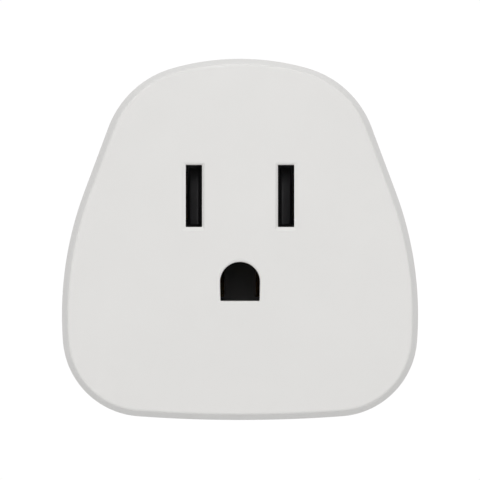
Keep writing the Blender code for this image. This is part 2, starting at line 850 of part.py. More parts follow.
def power_board(material):
    """The main circuit board, with clearance for the case screws and slots for blades and contacts."""
    outline = case_outline(0.0031)
    depths = deep_range(BOARD_DEPTH, BOARD_BACK)
    board = prism("power_board", "Y", outline, *depths, material)
    through = deep_range(BOARD_DEPTH - 0.001, BOARD_BACK + 0.001)
    for i, spot in enumerate(CASE_SCREW_SPOTS, 1):
        hole = [(BOSS_RADIUS + 0.0003, y) for y in through]
        cut(board, turned(f"board_boss_hole_{i}", "Y", spot, hole, sides=16))
    for i, spot in enumerate(BOARD_SCREW_SPOTS, 1):
        hole = [(0.00115, y) for y in through]
        cut(board, turned(f"board_screw_hole_{i}", "Y", spot, hole, sides=12))
    slots = {
        "line_contact": tail_slot(BLADE_X, BLADE_Z, BLADE_CONTACT_GAP),
        "neutral_contact": tail_slot(-BLADE_X, BLADE_Z, BLADE_CONTACT_GAP),
        "ground_contact": tail_slot(0.0, GROUND_Z, GROUND_CONTACT_GAP),
        "relay_fixed": ((RELAY_CORE_X - 0.0017, RELAY_CORE_X + 0.0017), (-0.0157, -0.0148)),
        "relay_common": ((RELAY_CORE_X - 0.0017, RELAY_CORE_X + 0.0017), (-0.0022, -0.0013)),
    }
    for side, name in ((-1, "neutral_blade"), (1, "line_blade")):
        x = side * BLADE_X
        edge = BLADE_THICKNESS / 2 + FIT
        slots[name] = ((x - edge, x + edge), (BLADE_Z - 0.0023, BLADE_Z + 0.0023))
    for name, (x, z) in slots.items():
        cut(board, block(f"board_slot_{name}", x, through, z))
    pin_hole = [(0.0017, y) for y in through]
    cut(board, turned("board_ground_hole", "Y", (0.0, GROUND_Z), pin_hole, sides=16))
    return board


def can_capacitor(name, spot, radius, height, material):
    """A radial electrolytic capacitor with its rolled neck and a domed end, standing on the board."""
    foot = BOARD_DEPTH - 0.0004
    top = foot - height
    profile = [
        (radius * 0.94, deep(foot)),
        (radius, deep(foot - 0.0004)),
        (radius, deep(foot - 0.0012)),
        (radius * 0.93, deep(foot - 0.0017)),
        (radius, deep(foot - 0.0022)),
        (radius, deep(top + 0.0004)),
        (radius * 0.9, deep(top)),
    ]
    return turned(name, "Y", spot, profile, material)


def noise_capacitor(material):
    """The boxed film capacitor across the supply."""
    outline = rectangle(-0.0080, 0.0050, -0.0174, -0.0124)
    piece = prism("noise_capacitor", "Y", outline, *deep_range(0.0126, 0.0236), material)
    soften(piece, 0.0004)
    return piece


def soften(piece, width):
    """Rounds every edge a little."""
    bevel = piece.modifiers.new("soft_edges", "BEVEL")
    bevel.width = width
    bevel.segments = 1
    bevel.limit_method = "ANGLE"


def varistor(material):
    """The coated surge disc, on edge, bulging at its middle, with its foot on the board."""
    centre = (-0.0050, deep(0.0187))
    profile = [
        (0.0028, 0.0128),
        (0.0041, 0.0132),
        (0.0045, 0.0140),
        (0.0045, 0.0156),
        (0.0041, 0.0164),
        (0.0028, 0.0168),
    ]
    return turned("varistor", "Z", centre, profile, material)


def choke(material):
    """The drum-wound input choke."""
    profile = [
        (0.0032, deep(0.0236)),
        (0.0032, deep(0.0226)),
        (0.0027, deep(0.0224)),
        (0.0027, deep(0.0158)),
        (0.0032, deep(0.0156)),
        (0.0032, deep(0.0146)),
    ]
    return turned("choke", "Y", (0.0065, 0.0150), profile, material)


def fuse_resistor(material):
    """The fusible resistor that protects the supply, lying along the board."""
    centre = (-0.0127, deep(0.0220))
    profile = [
        (0.0011, 0.0034),
        (0.0015, 0.0038),
        (0.0015, 0.0052),
        (0.0013, 0.0056),
        (0.0013, 0.0084),
        (0.0015, 0.0088),
        (0.0015, 0.0100),
        (0.0011, 0.0104),
    ]
    return turned("fuse_resistor", "Z", centre, profile, material, sides=14)


def chip(name, x, z, height, leads, material):
    """A moulded chip on the board's back, with a row of leads along its low and high edges."""
    standoff = 0.0003
    near = BOARD_BACK + standoff
    body = block(name, x, deep_range(near, near + height), z, material)
    pitch = (x[1] - x[0]) / leads
    lead_half = pitch * 0.18
    for i in range(leads):
        middle = x[0] + pitch * (i + 0.5)
        lead = block(
            f"{name}_lead_{i + 1}",
            (middle - lead_half, middle + lead_half),
            deep_range(BOARD_BACK + 0.0002, near + height * 0.35),
            (z[0] - 0.0008, z[1] + 0.0008),
        )
        fuse(body, lead)
    return body


def current_shunt(material):
    """The metering shunt: a bridge of resistance alloy between two feet, in the live path."""
    near = BOARD_BACK + 0.0006
    path = [
        (deep(near), 0.0006),
        (deep(near), 0.0024),
        (deep(near + 0.0014), 0.0032),
        (deep(near + 0.0014), 0.0072),
        (deep(near), 0.0080),
        (deep(near), 0.0096),
    ]
    return prism("current_shunt", "X", strip(path, 0.0007), 0.0112, 0.0150, material)


def radio_module(board_material, shield_material, header_material):
    """The radio board on its pin header, with its shield can."""
    x = (-0.0192, -0.0109)
    board_depths = (0.0279, 0.0287)
    block("radio_board", x, deep_range(*board_depths), (-0.0150, 0.0046), board_material)
    shield = block(
        "radio_shield",
        (x[0] + 0.0008, x[1] - 0.0008),
        deep_range(board_depths[1] + FIT, 0.0310),
        (-0.0120, -0.0010),
        shield_material,
    )
    soften(shield, 0.0003)
    header_z = (-0.0149, -0.0129)
    strip_piece = block(
        "pin_header", (x[0] + 0.0004, x[1] - 0.0004), deep_range(0.0258, 0.0277), header_z, header_material
    )
    return shield, strip_piece


# ---------------------------------------------------------------- relay


def relay_cover(material):
    """The relay's case, open towards the board."""
    depths = deep_range(RELAY_TOP_DEPTH, 0.0235)
    cover = block("relay_cover", RELAY_X, depths, RELAY_Z, material)
    inside = block(
        "relay_inside",
        (RELAY_X[0] + RELAY_WALL, RELAY_X[1] - RELAY_WALL),
        deep_range(RELAY_TOP_DEPTH + RELAY_WALL, 0.0240),
        (RELAY_Z[0] + RELAY_WALL, RELAY_Z[1] - RELAY_WALL),
    )
    cut(cover, inside)
    return cover


def relay_base(material):
    margin = RELAY_WALL + FIT
    base = block(
        "relay_base",
        (RELAY_X[0] + margin, RELAY_X[1] - margin),
        deep_range(0.0224, 0.0236),
        (RELAY_Z[0] + margin, RELAY_Z[1] - margin),
        material,
    )
    for name, z in (("fixed", (-0.0158, -0.0147)), ("common", (-0.0023, -0.0012))):
        x = (RELAY_CORE_X - 0.0018, RELAY_CORE_X + 0.0018)
        cut(base, block(f"relay_base_slot_{name}", x, deep_range(0.0220, 0.0240), z))
    return base


def relay_yoke(material):
    """The bent iron yoke and the core fixed in it."""
    path = [(deep(0.0142), -0.0142), (deep(0.0216), -0.0142), (deep(0.0216), -0.0043)]
    x = (RELAY_CORE_X - 0.0031, RELAY_CORE_X + 0.0031)
    yoke = prism("relay_yoke", "X", strip(path, 0.0008), *x, material)
    core = turned(
        "relay_core",
        "Z",
        (RELAY_CORE_X, deep(RELAY_CORE_DEPTH)),
        [(0.0014, -0.0143), (0.0014, -0.00445)],
        sides=16,
    )
    fuse(yoke, core)
    return yoke


def relay_bobbin(material):
    """The coil former: two square flanges on a tube."""
    centre = (RELAY_CORE_X, deep(RELAY_CORE_DEPTH))
    half = 0.0033
    flange = rectangle(centre[0] - half, centre[0] + half, centre[1] - half, centre[1] + half)
    bobbin = prism("relay_bobbin", "Z", flange, -0.0135, -0.0129, material)
    fuse(bobbin, turned("bobbin_tube", "Z", centre, [(0.0021, -0.0132), (0.0021, -0.0052)], sides=16))
    fuse(bobbin, prism("bobbin_end", "Z", flange, -0.0055, -0.0049))
    cut(bobbin, turned("bobbin_bore", "Z", centre, [(0.0016, -0.0140), (0.0016, -0.0040)], sides=16))
    return bobbin


def relay_winding(material):
    centre = (RELAY_CORE_X, deep(RELAY_CORE_DEPTH))
    winding = turned("relay_winding", "Z", centre, [(0.0031, -0.01275), (0.0031, -0.00565)], material)
    cut(winding, turned("winding_bore", "Z", centre, [(0.00225, -0.0140), (0.00225, -0.0050)], sides=16))
    return winding


def relay_armature(material):
    x = (RELAY_CORE_X - 0.0030, RELAY_CORE_X + 0.0030)
    return block("relay_armature", x, deep_range(0.0150, 0.0220), (-0.0039, -0.0031), material)


def relay_moving_contact(material):
    """The spring strip on the armature, with its contact rivet."""
    x = (RELAY_CORE_X - 0.0016, RELAY_CORE_X + 0.0016)
    blade_strip = block("relay_moving_contact", x, deep_range(0.0124, 0.0208), (-0.0029, -0.0026), material)
    rivet = [(0.00085, -0.0037), (0.00085, -0.0027)]
    spot = (RELAY_CORE_X, deep(CONTACT_DEPTH))
    fuse(blade_strip, turned("moving_rivet", "Z", spot, rivet, sides=14))
    return blade_strip


def relay_fixed_contact(material):
    """The fixed contact's terminal: up from the board, along over the coil, down to its rivet."""
    path = [
        (deep(BOARD_BACK + 0.0006), -0.01525),
        (deep(0.0124), -0.01525),
        (deep(0.0124), -0.0062),
        (deep(0.0142), -0.0062),
    ]
    x = (RELAY_CORE_X - 0.0015, RELAY_CORE_X + 0.0015)
    terminal = prism("relay_fixed_contact", "X", strip(path, 0.0005), *x, material)
    rivet = [(0.00085, -0.0063), (0.00085, -0.0048)]
    fuse(terminal, turned("fixed_rivet", "Z", (RELAY_CORE_X, deep(CONTACT_DEPTH)), rivet, sides=14))
    return terminal


def relay_common_terminal(material):
    path = [(deep(BOARD_BACK + 0.0006), -0.00175), (deep(0.0206), -0.00175)]
    x = (RELAY_CORE_X - 0.0015, RELAY_CORE_X + 0.0015)
    return prism("relay_common_terminal", "X", strip(path, 0.0005), *x, material)


# ---------------------------------------------------------------- button and light


def power_button(material):
    """The pill-shaped side button: a crowned cap in the case wall, a flange inside and a short stem."""
    outside = flank_x(BUTTON_Z, rear_inset(BUTTON_DEPTH)) + 0.0004
    inner_wall = flank_x(BUTTON_Z, WALL + rear_inset(BUTTON_DEPTH)) - 0.0006
    cap = loft(
        "power_button",
        [
            along("X", button_outline(-0.0006), outside),
            along("X", button_outline(-0.0002), outside - 0.0002),
            along("X", button_outline(), outside - 0.0006),
            along("X", button_outline(), inner_wall - 0.0005),
        ],
        material,
    )
    flange = button_outline(0.0006)
    fuse(cap, prism("button_flange", "X", flange, inner_wall - 0.0009, inner_wall))
    return cap


def tact_switch_body(material):
    """The side-acting switch at the board's edge, bored for its plunger."""
    z = (BUTTON_Z - 0.0030, BUTTON_Z + 0.0030)
    body = block("tact_switch_body", (0.0146, SWITCH_FACE), deep_range(0.0259, 0.0325), z, material)
    middle = (deep(BUTTON_DEPTH), BUTTON_Z)
    cut(body, turned("plunger_bore", "X", middle, [(0.0013, 0.0166), (0.0013, 0.0200)], sides=16))
    return body


def tact_switch_plunger(material):
    middle = (deep(BUTTON_DEPTH), BUTTON_Z)
    profile = [(0.0011, 0.0176), (0.0011, PLUNGER_TIP - 0.0002), (0.0009, PLUNGER_TIP)]
    return turned("tact_switch_plunger", "X", middle, profile, material, sides=16)


def status_led(material):
    """The side-looking LED on the board, aimed along the light pipe."""
    z = (LIGHT_Z - 0.0015, LIGHT_Z + 0.0015)
    holder = block("status_led", (0.0172, 0.0182), deep_range(0.0259, 0.0307), z, material)
    lens = [(0.0012, 0.0178), (0.0012, 0.0186), (0.0008, 0.0191)]
    fuse(holder, turned("led_lens", "X", (deep(BUTTON_DEPTH), LIGHT_Z), lens, sides=14))
    return holder


def light_pipe(material):
    """The clear rod that carries the light to the case wall, with a flange inside."""
    middle = (deep(BUTTON_DEPTH), LIGHT_Z)
    outside = flank_x(LIGHT_Z, rear_inset(BUTTON_DEPTH)) - 0.0001
    inner_wall = flank_x(LIGHT_Z, WALL + rear_inset(BUTTON_DEPTH)) - 0.0006
    profile = [
        (0.0009, 0.0195),
        (0.0009, inner_wall - 0.0007),
        (0.0015, inner_wall - 0.0007),
        (0.0015, inner_wall),
        (0.0009, inner_wall),
        (0.0009, outside - 0.0002),
        (0.0007, outside),
    ]
    return turned("light_pipe", "X", middle, profile, material, sides=16)


# ---------------------------------------------------------------- the whole object


def clear_scene():
    for old in list(bpy.data.objects):
        bpy.data.objects.remove(old)


def build():
    clear_scene()
    shell_white = plastic("shell_white", (0.76, 0.75, 0.73), 0.45)
    button_white = plastic("button_white", (0.74, 0.73, 0.71), 0.4)
    black_nylon = plastic("black_nylon", (0.02, 0.02, 0.022), 0.5)
    holder_nylon = plastic("holder_nylon", (0.62, 0.61, 0.58), 0.5)
    board_green = plastic("board_green", (0.02, 0.16, 0.07), 0.4)
    radio_blue = plastic("radio_blue", (0.02, 0.05, 0.16), 0.4)
    relay_plastic = plastic("relay_plastic", (0.03, 0.03, 0.035), 0.35)
    relay_frame = plastic("relay_frame", (0.35, 0.32, 0.25), 0.5)
    film_yellow = plastic("film_yellow", (0.62, 0.50, 0.10), 0.4)
    varistor_blue = plastic("varistor_blue", (0.03, 0.12, 0.35), 0.35)
    resistor_green = plastic("resistor_green", (0.15, 0.28, 0.22), 0.5)
    chip_black = plastic("chip_black", (0.025, 0.025, 0.025), 0.6)
    ferrite = plastic("ferrite", (0.05, 0.05, 0.055), 0.55)
    clear_plastic = plastic("clear_plastic", (0.85, 0.88, 0.90), 0.1)
    nickel = metal("nickel", (0.72, 0.69, 0.64), 0.25)
    brass = metal("brass", (0.72, 0.52, 0.24), 0.35)
    steel = metal("steel", (0.56, 0.56, 0.57), 0.35)
    copper = metal("copper", (0.72, 0.38, 0.22), 0.35)
    aluminium = metal("aluminium", (0.60, 0.61, 0.63), 0.3)

    root = empty("power_meter", (0.0, 0.0, 0.0))
    button_pivot = pivot_at("button_press", (SWITCH_FACE, deep(BUTTON_DEPTH), BUTTON_Z), root)
    left_pivot = pivot_at("left_shutter_slide", (-BLADE_X, deep(SHUTTER_PLATE[0]), BLADE_Z), root)
    right_pivot = pivot_at("right_shutter_slide", (BLADE_X, deep(SHUTTER_PLATE[0]), BLADE_Z), root)
    armature_pivot = pivot_at(
        "armature_hinge", (RELAY_CORE_X, deep(ARMATURE_PIVOT_DEPTH), ARMATURE_PIVOT_Z), root
    )

    front_cover(shell_white)
    rear_housing(shell_white)
    list(case_screws(steel))
    blade("neutral_blade", -BLADE_X, nickel)
    blade("line_blade", BLADE_X, nickel)
    ground_pin(nickel)
    blade_holder(holder_nylon)

    shutter_guide(black_nylon)
    hang(shutter("left_shutter", -1, black_nylon), left_pivot)
    hang(shutter("right_shutter", 1, black_nylon), right_pivot)
    shutter_spring("left_shutter_spring", -1, steel)
    shutter_spring("right_shutter_spring", 1, steel)
    contact_carrier(black_nylon)
    blade_contact("neutral_contact", -1, brass)
    blade_contact("line_contact", 1, brass)
    ground_contact(brass)

    power_board(board_green)
    list(board_screws(steel))
    can_capacitor("bulk_capacitor_1", (-0.0150, -0.0015), 0.0040, 0.0140, aluminium)
    can_capacitor("bulk_capacitor_2", (-0.0153, -0.0104), 0.00315, 0.0112, aluminium)
    can_capacitor("output_capacitor", (0.0137, 0.0062), 0.0025, 0.0110, aluminium)
    noise_capacitor(film_yellow)
    varistor(varistor_blue)
    choke(ferrite)
    fuse_resistor(resistor_green)
    current_shunt(copper)
    chip("metering_chip", (-0.0050, 0.0050), (0.0122, 0.0158), 0.0015, 8, chip_black)
    chip("supply_chip", (0.0015, 0.0065), (-0.0164, -0.0126), 0.0015, 4, chip_black)
    chip("bridge_rectifier", (-0.0062, -0.0014), (-0.0164, -0.0126), 0.0024, 2, chip_black)
    chip("voltage_regulator", (-0.0032, 0.0032), (-0.0208, -0.0182), 0.0016, 3, chip_black)
    radio_module(radio_blue, aluminium, chip_black)

    relay_cover(relay_plastic)
    relay_base(relay_plastic)
    relay_yoke(steel)
    relay_bobbin(relay_frame)
    relay_winding(copper)
    relay_fixed_contact(brass)
    relay_common_terminal(brass)
    hang(relay_armature(steel), armature_pivot)
    hang(relay_moving_contact(brass), armature_pivot)

    hang(power_button(button_white), button_pivot)
    hang(tact_switch_plunger(black_nylon), button_pivot)
    tact_switch_body(chip_black)
    status_led(clear_plastic)
    light_pipe(clear_plastic)

    for piece in bpy.data.objects:
        if piece.type != "EMPTY" and piece.parent is None:
            piece.parent = root


build()
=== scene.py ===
"""The looks of the plug-in power meter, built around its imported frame.

Frame: the origin is the middle of the wall face, +Y points into the wall, +Z is up, and +X is to
the right as seen from the outlet side. Lengths are in metres. "Depth" is measured behind the
outlet face. A "station" is a pair: what sets an outline's size there, and its position on an axis.
"""

import math
from functools import partial

import bmesh
import bpy
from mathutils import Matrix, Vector


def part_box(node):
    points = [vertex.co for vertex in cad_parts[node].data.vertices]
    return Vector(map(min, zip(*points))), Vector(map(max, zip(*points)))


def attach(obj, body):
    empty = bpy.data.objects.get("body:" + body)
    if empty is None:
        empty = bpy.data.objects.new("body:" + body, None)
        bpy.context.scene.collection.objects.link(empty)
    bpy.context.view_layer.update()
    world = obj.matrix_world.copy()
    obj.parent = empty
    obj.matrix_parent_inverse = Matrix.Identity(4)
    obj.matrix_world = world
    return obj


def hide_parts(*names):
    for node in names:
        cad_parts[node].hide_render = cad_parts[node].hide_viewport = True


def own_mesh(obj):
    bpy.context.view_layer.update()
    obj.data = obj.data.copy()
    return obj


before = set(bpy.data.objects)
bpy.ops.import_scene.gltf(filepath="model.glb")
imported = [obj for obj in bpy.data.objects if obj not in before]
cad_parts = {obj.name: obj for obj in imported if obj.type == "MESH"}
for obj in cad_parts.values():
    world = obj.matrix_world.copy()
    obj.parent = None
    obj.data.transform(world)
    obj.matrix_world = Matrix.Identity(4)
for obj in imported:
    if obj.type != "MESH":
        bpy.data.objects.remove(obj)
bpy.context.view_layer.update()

FACE_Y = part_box("front_cover")[0].y
WALL_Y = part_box("rear_housing")[1].y
CASE_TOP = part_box("front_cover")[1].z

# Case: the same driving sizes as the solids
BODY_DEPTH = WALL_Y - FACE_Y
PARTING_DEPTH = 0.0130
PARTING_GAP = 0.0002
WALL = 0.0020
FACE_WALL = 0.0022
BACK_WALL = 0.0022
FRONT_DRAFT = 0.00094
REAR_DRAFT = 0.0008
FACE_FILLET = 0.00038
BACK_FILLET = 0.0012
RIM_FILLET = 0.00014
TONGUE_LENGTH = 0.0020
TONGUE_OUTSIDE = 0.00115
TONGUE_THICKNESS = 0.00095
FIT = 0.0002
ROOT = 0.0006  # how far bosses and ribs reach into the wall they stand on

# Case outline at the parting line: tangent arcs, headings turned clockwise from +X
TOP_RADIUS = 0.0343
SHOULDER_RADIUS = 0.0134
FLANK_LENGTH = 0.00967
FLANK_RADIUS = 0.04885
CORNER_RADIUS = 0.0113
SHOULDER_START = math.radians(16.0)
FLANK_START = math.radians(69.5)
CORNER_START = math.radians(94.3)
BOTTOM_START = math.radians(175.8)

# Outlet: the slopes round its slots are (width, depth)
BLADE_Z = 0.00597
GROUND_DROP = 0.01189
SLOT_WIDTH = 0.00225
SLOT_HEIGHT = 0.00855
SLOT_CORNER = 0.0001
LEAD_OUTER = (0.00055, 0.00012)  # on the side away from the centre
LEAD_INNER = (0.00035, 0.00035)
LEAD_LOW = (0.00055, 0.00017)
LEAD_TOP_RADIUS = 0.00045
LEAD_DEPTHS = (0.0, 0.00003, 0.00007, 0.00012, 0.00017, 0.00021, 0.00025, 0.0003, 0.00035, 0.00045)
GROUND_HOLE_RADIUS = 0.00275
GROUND_HOLE_RISE = 0.00006
GROUND_HOLE_DROP = 0.00262
GROUND_HOLE_TAPER = 0.00006
GROUND_LEAD_RADIUS = 0.0002
GROUND_LEAD_RISE = 0.0003

# Blades, pin and screws. A screw is (shaft radius, head radius, head height, pitch).
BLADE_WIDTH = 0.00635
BLADE_HOLE_RADIUS = 0.0016
BLADE_HOLE_Y = 0.0119
PIN_RADIUS = 0.00238
PIN_FLANGE_RADIUS = 0.0034
PIN_TAIL_RADIUS = 0.0015
SHOULDER_FRONT = 0.0343  # depths of the shoulders that hold the blades and the pin
SHOULDER_BACK = 0.0355
CASE_SCREW = (0.00115, 0.0021, 0.0016, 0.0010)
BOARD_SCREW = (0.00095, 0.0019, 0.0013, 0.0008)
BOSS_RADIUS = 0.0023
BOSS_MEETING_DEPTH = 0.0280

# Side button and light
SIDE_DEPTH = 0.0292  # the depth of their axes
BUTTON_SIZE = (0.0038, 0.0074)
PIPE_RADIUS = 0.0009
FLANGE_SPACE = 0.0006  # between the wall's inner face and their flanges

# Boards
BOARD_DEPTH = 0.0240
BOARD_BACK = 0.0256
LEAD_END = BOARD_BACK + 0.0006
CHIP_LEADS = {"metering_chip": 8, "supply_chip": 4, "bridge_rectifier": 2, "voltage_regulator": 3}
CAPACITORS = ("bulk_capacitor_1", "bulk_capacitor_2", "output_capacitor")
RESISTOR_BANDS = ((0.45, 0.05, 0.02), (0.02, 0.02, 0.02), (0.60, 0.45, 0.05), (0.55, 0.50, 0.42))

# Studio
CAMERA_DISTANCE = 1.15
CAMERA_Z = -0.00009
VIEW_WIDTH = 0.06609  # what the camera sees across, at the outlet face
SENSOR_WIDTH = 36.0
FLOOR_DROP = 0.12
FLOOR_RADIUS = 2.6
FLOOR_COLOUR = (0.735, 0.735, 0.735)
FLOOR_GLOW = 0.48  # its emission strength near its edge
DOME_RADIUS = 2.7
DOME_STRENGTH = 1.02
WORLD_STRENGTH = 0.737
LIGHTS = (  # name, place, size, power
    ("key_light", (0.0, -0.5, 0.187), 0.33, 0.66),
    ("top_light", (0.0, -0.1, 1.2), 0.8, 1.3),
    ("back_light", (0.0, 1.05, 1.35), 0.8, 1.6),
)


# ---------------------------------------------------------------- where things are


def middle(name):
    low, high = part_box(name)
    return (low + high) / 2


def spot_of(name):
    """The middle of a node as (x, z)."""
    centre = middle(name)
    return centre.x, centre.z


def depth_y(depth):
    """The Y of a plane this far behind the outlet face."""
    return FACE_Y + depth


BLADE_X = middle("line_blade").x
BLADE_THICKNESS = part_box("line_blade")[1].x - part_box("line_blade")[0].x
GROUND_Z = BLADE_Z - GROUND_DROP
SCREW_SPOTS = [spot_of(f"case_screw_{i}") for i in (1, 2, 3)]
BOARD_SCREW_SPOTS = [spot_of(f"board_screw_{i}") for i in (1, 2)]
BUTTON_Z = middle("power_button").z
LIGHT_Z = middle("light_pipe").z


# ---------------------------------------------------------------- materials


def link(material, start, end):
    material.node_tree.links.new(start, end)


def node(material, kind, **inputs):
    """A shader node. Each input is a value, or the output of another node."""
    made = material.node_tree.nodes.new("ShaderNode" + kind)
    for name, value in inputs.items():
        socket = made.inputs[name.replace("_", " ")]
        if isinstance(value, bpy.types.NodeSocket):
            link(material, value, socket)
        else:
            socket.default_value = value
    return made


def noise(material, where, size, detail=3.0):
    """A noise whose features are about this many metres across. Its output is near 0.5."""
    made = node(material, "TexNoise", Vector=where, Scale=1 / size, Detail=detail, Roughness=0.55)
    return made.outputs["Fac"]


def ranged(material, value, low, high):
    """A noise's middle half spread over a range."""
    made = node(material, "MapRange", Value=value, From_Min=0.3, From_Max=0.7, To_Min=low, To_Max=high)
    return made.outputs["Result"]


def mixed(material, factor, first, second):
    made = material.node_tree.nodes.new("ShaderNodeMix")
    made.data_type = "RGBA"
    link(material, factor, made.inputs["Factor"])
    for socket, colour in ((made.inputs["A"], first), (made.inputs["B"], second)):
        if isinstance(colour, tuple):
            socket.default_value = (*colour, 1.0)
        else:
            link(material, colour, socket)
    return made.outputs["Result"]


def shade(factor, colour):
    return tuple(min(1.0, part * factor) for part in colour)


def clouded(material, factor, colour, spread):
    """A colour that drifts this far darker and lighter."""
    return mixed(material, factor, shade(1 - spread, colour), shade(1 + spread, colour))


def start_material(name, stretch=(1, 1, 1), **fixed):
    """A material, its shader and its object coordinates, stretched along the axes."""
    material = bpy.data.materials.new(name)
    material.use_nodes = True
    shader = material.node_tree.nodes["Principled BSDF"]
    for socket, value in fixed.items():
        shader.inputs[socket.replace("_", " ")].default_value = value
    where = node(material, "TexCoord").outputs["Object"]
    mapping = node(material, "Mapping", Vector=where, Scale=stretch)
    return material, shader, mapping.outputs["Vector"]


def finished(material, shader, colours, roughness, height, depth):
    """The material with a colour, a roughness and a bump of this depth on its shader."""
    link(material, colours, shader.inputs["Base Color"])
    link(material, roughness, shader.inputs["Roughness"])
    bump = node(material, "Bump", Height=height, Distance=depth)
    link(material, bump.outputs["Normal"], shader.inputs["Normal"])
    return material


def moulded(name, colour, roughness, grain=0.0003, grain_depth=0.000004, mottle=0.02, **fixed):
    """Moulded plastic: a spark-eroded grain, faint colour drift and slightly uneven gloss."""
    material, shader, where = start_material(name, **fixed)
    colours = clouded(material, noise(material, where, 0.012, 2.0), colour, mottle)
    gloss = ranged(material, noise(material, where, 0.004), roughness - 0.04, roughness + 0.04)
    return finished(material, shader, colours, gloss, noise(material, where, grain, 4.0), grain_depth)


def worked_metal(name, colour, roughness, stretch=(1, 1, 1), grain=0.00025, grain_depth=0.000002):
    """Rolled, drawn or plated metal: fine marks along its length and a slightly clouded surface."""
    material, shader, where = start_material(name, stretch, Metallic=1.0)
    colours = clouded(material, noise(material, where, 0.004, 4.0), colour, 0.06)
    marks = noise(material, where, grain, 4.0)
    gloss = ranged(material, marks, roughness - 0.07, roughness + 0.09)
    return finished(material, shader, colours, gloss, marks, grain_depth)


def solder_mask(name, colour):
    """A board's lacquer: clouded, with the weave faintly showing and small tinned through-holes."""
    material, shader, where = start_material(name)
    facing = node(material, "Mapping", Vector=where, Rotation=(math.radians(90), 0, 0)).outputs["Vector"]
    weave = node(material, "TexChecker", Vector=facing, Scale=1 / 0.00045).outputs["Fac"]
    clouds = clouded(material, noise(material, where, 0.004), colour, 0.15)
    woven = mixed(material, weave, clouds, shade(0.96, colour))
    holes = node(material, "TexVoronoi", Vector=facing, Scale=1 / 0.0026).outputs["Distance"]
    spot = node(material, "MapRange", Value=holes, From_Min=0.11, From_Max=0.08).outputs["Result"]
    link(material, spot, shader.inputs["Metallic"])
    colours = mixed(material, spot, woven, (0.62, 0.62, 0.60))
    gloss = ranged(material, noise(material, where, 0.003), 0.26, 0.42)
    return finished(material, shader, colours, gloss, weave, 0.000003)


def banded(name, colour, bands, start, pitch):
    """Body paint with rings of other colours round the Z axis."""
    material, shader, where = start_material(name)
    height = node(material, "SeparateXYZ", Vector=where).outputs["Z"]
    paint = clouded(material, noise(material, where, 0.0008), colour, 0.07)
    for i, band in enumerate(bands):
        ring = node(material, "Math")
        ring.operation = "COMPARE"
        link(material, height, ring.inputs[0])
        ring.inputs[1].default_value = start + pitch * i
        ring.inputs[2].default_value = pitch * 0.25
        paint = mixed(material, ring.outputs["Value"], paint, band)
    gloss = ranged(material, noise(material, where, 0.0006), 0.34, 0.46)
    return finished(material, shader, paint, gloss, noise(material, where, 0.0004), 0.00001)


def clear_plastic(name):
    """Frosted clear plastic, slightly cloudy."""
    material, shader, where = start_material(name, IOR=1.49, Transmission_Weight=0.4)
    cloud = noise(material, where, 0.0012)
    colours = mixed(material, cloud, (0.80, 0.83, 0.84), (0.88, 0.90, 0.91))
    gloss = ranged(material, cloud, 0.18, 0.30)
    return finished(material, shader, colours, gloss, noise(material, where, 0.0006, 2.0), 0.000003)


# ---------------------------------------------------------------- shape tools


def placed(name, data):
    """A new object in the scene that shows this data."""
    made = bpy.data.objects.new(name, data)
    bpy.context.scene.collection.objects.link(made)
    return made


def object_from(name, mesh):
    """An object from a bmesh, with its faces turned outwards."""
    bmesh.ops.recalc_face_normals(mesh, faces=mesh.faces)
    data = bpy.data.meshes.new(name)
    mesh.to_mesh(data)
    mesh.free()
    return placed(name, data)


def piece(name, mesh, material, stands_for=None, angle=35, body="case"):
    """A finished piece from a bmesh: smooth faces, its material, its body, and the node it stands for
    hidden.
    """
    made = object_from(name, mesh)
    made.data.shade_smooth()
    made.data.set_sharp_from_angle(angle=math.radians(angle))
    made.data.materials.append(material)
    weighted = made.modifiers.new("even_faces", "WEIGHTED_NORMAL")
    weighted.keep_sharp = True
    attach(made, body)
    if stands_for:
        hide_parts(stands_for)
    return made


def lofted(rings, mesh=None):
    """A closed body through rings of equal length, capped at both ends, as a bmesh."""
    mesh = mesh or bmesh.new()
    layers = [[mesh.verts.new(point) for point in ring] for ring in rings]
    for near, far in zip(layers, layers[1:]):
        for i in range(len(near)):
            j = (i + 1) % len(near)
            mesh.faces.new((near[i], near[j], far[j], far[i]))
    mesh.faces.new(layers[0])
    mesh.faces.new(layers[-1])
    return mesh


def along(axis, outline, position):
    """An outline in the plane across an axis: pairs are (x, z), (x, y) or (y, z)."""
    if axis == "Y":
        return [(u, position, v) for u, v in outline]
    if axis == "Z":
        return [(u, v, position) for u, v in outline]
    return [(position, u, v) for u, v in outline]


def stacked(axis, outline, stations, mesh=None):
    """A body along an axis, whose outline at each station is outline(size)."""
    return lofted([along(axis, outline(size), at) for size, at in stations], mesh)


def prism(axis, outline, start, end, mesh=None):
    return lofted([along(axis, outline, start), along(axis, outline, end)], mesh)


def block(x, y, z):
    return prism("Y", [(x[0], z[0]), (x[1], z[0]), (x[1], z[1]), (x[0], z[1])], y[0], y[1])


def swings(steps, total=90):
    """Angles from 0 to a total in degrees, in equal steps."""
    return [math.radians(total * i / steps) for i in range(steps + 1)]


def arc(centre, radius, start, end, steps):
    angles = [math.radians(start) + swing for swing in swings(steps, end - start)]
    return [(centre[0] + radius * math.cos(a), centre[1] + radius * math.sin(a)) for a in angles]


def circle(centre, radius, sides=64):
    return arc(centre, radius, 0, 360, sides)[:-1]


def turned(axis, centre, stations, sides=64, mesh=None):
    """A round body about an axis. A station's size is its radius."""
    return stacked(axis, lambda radius: circle(centre, max(radius, 1e-5), sides), stations, mesh)


def post(spot, stations, sides):
    """A round body along Y, from (radius, depth) pairs."""
    return turned("Y", spot, [(radius, depth_y(depth)) for radius, depth in stations], sides)


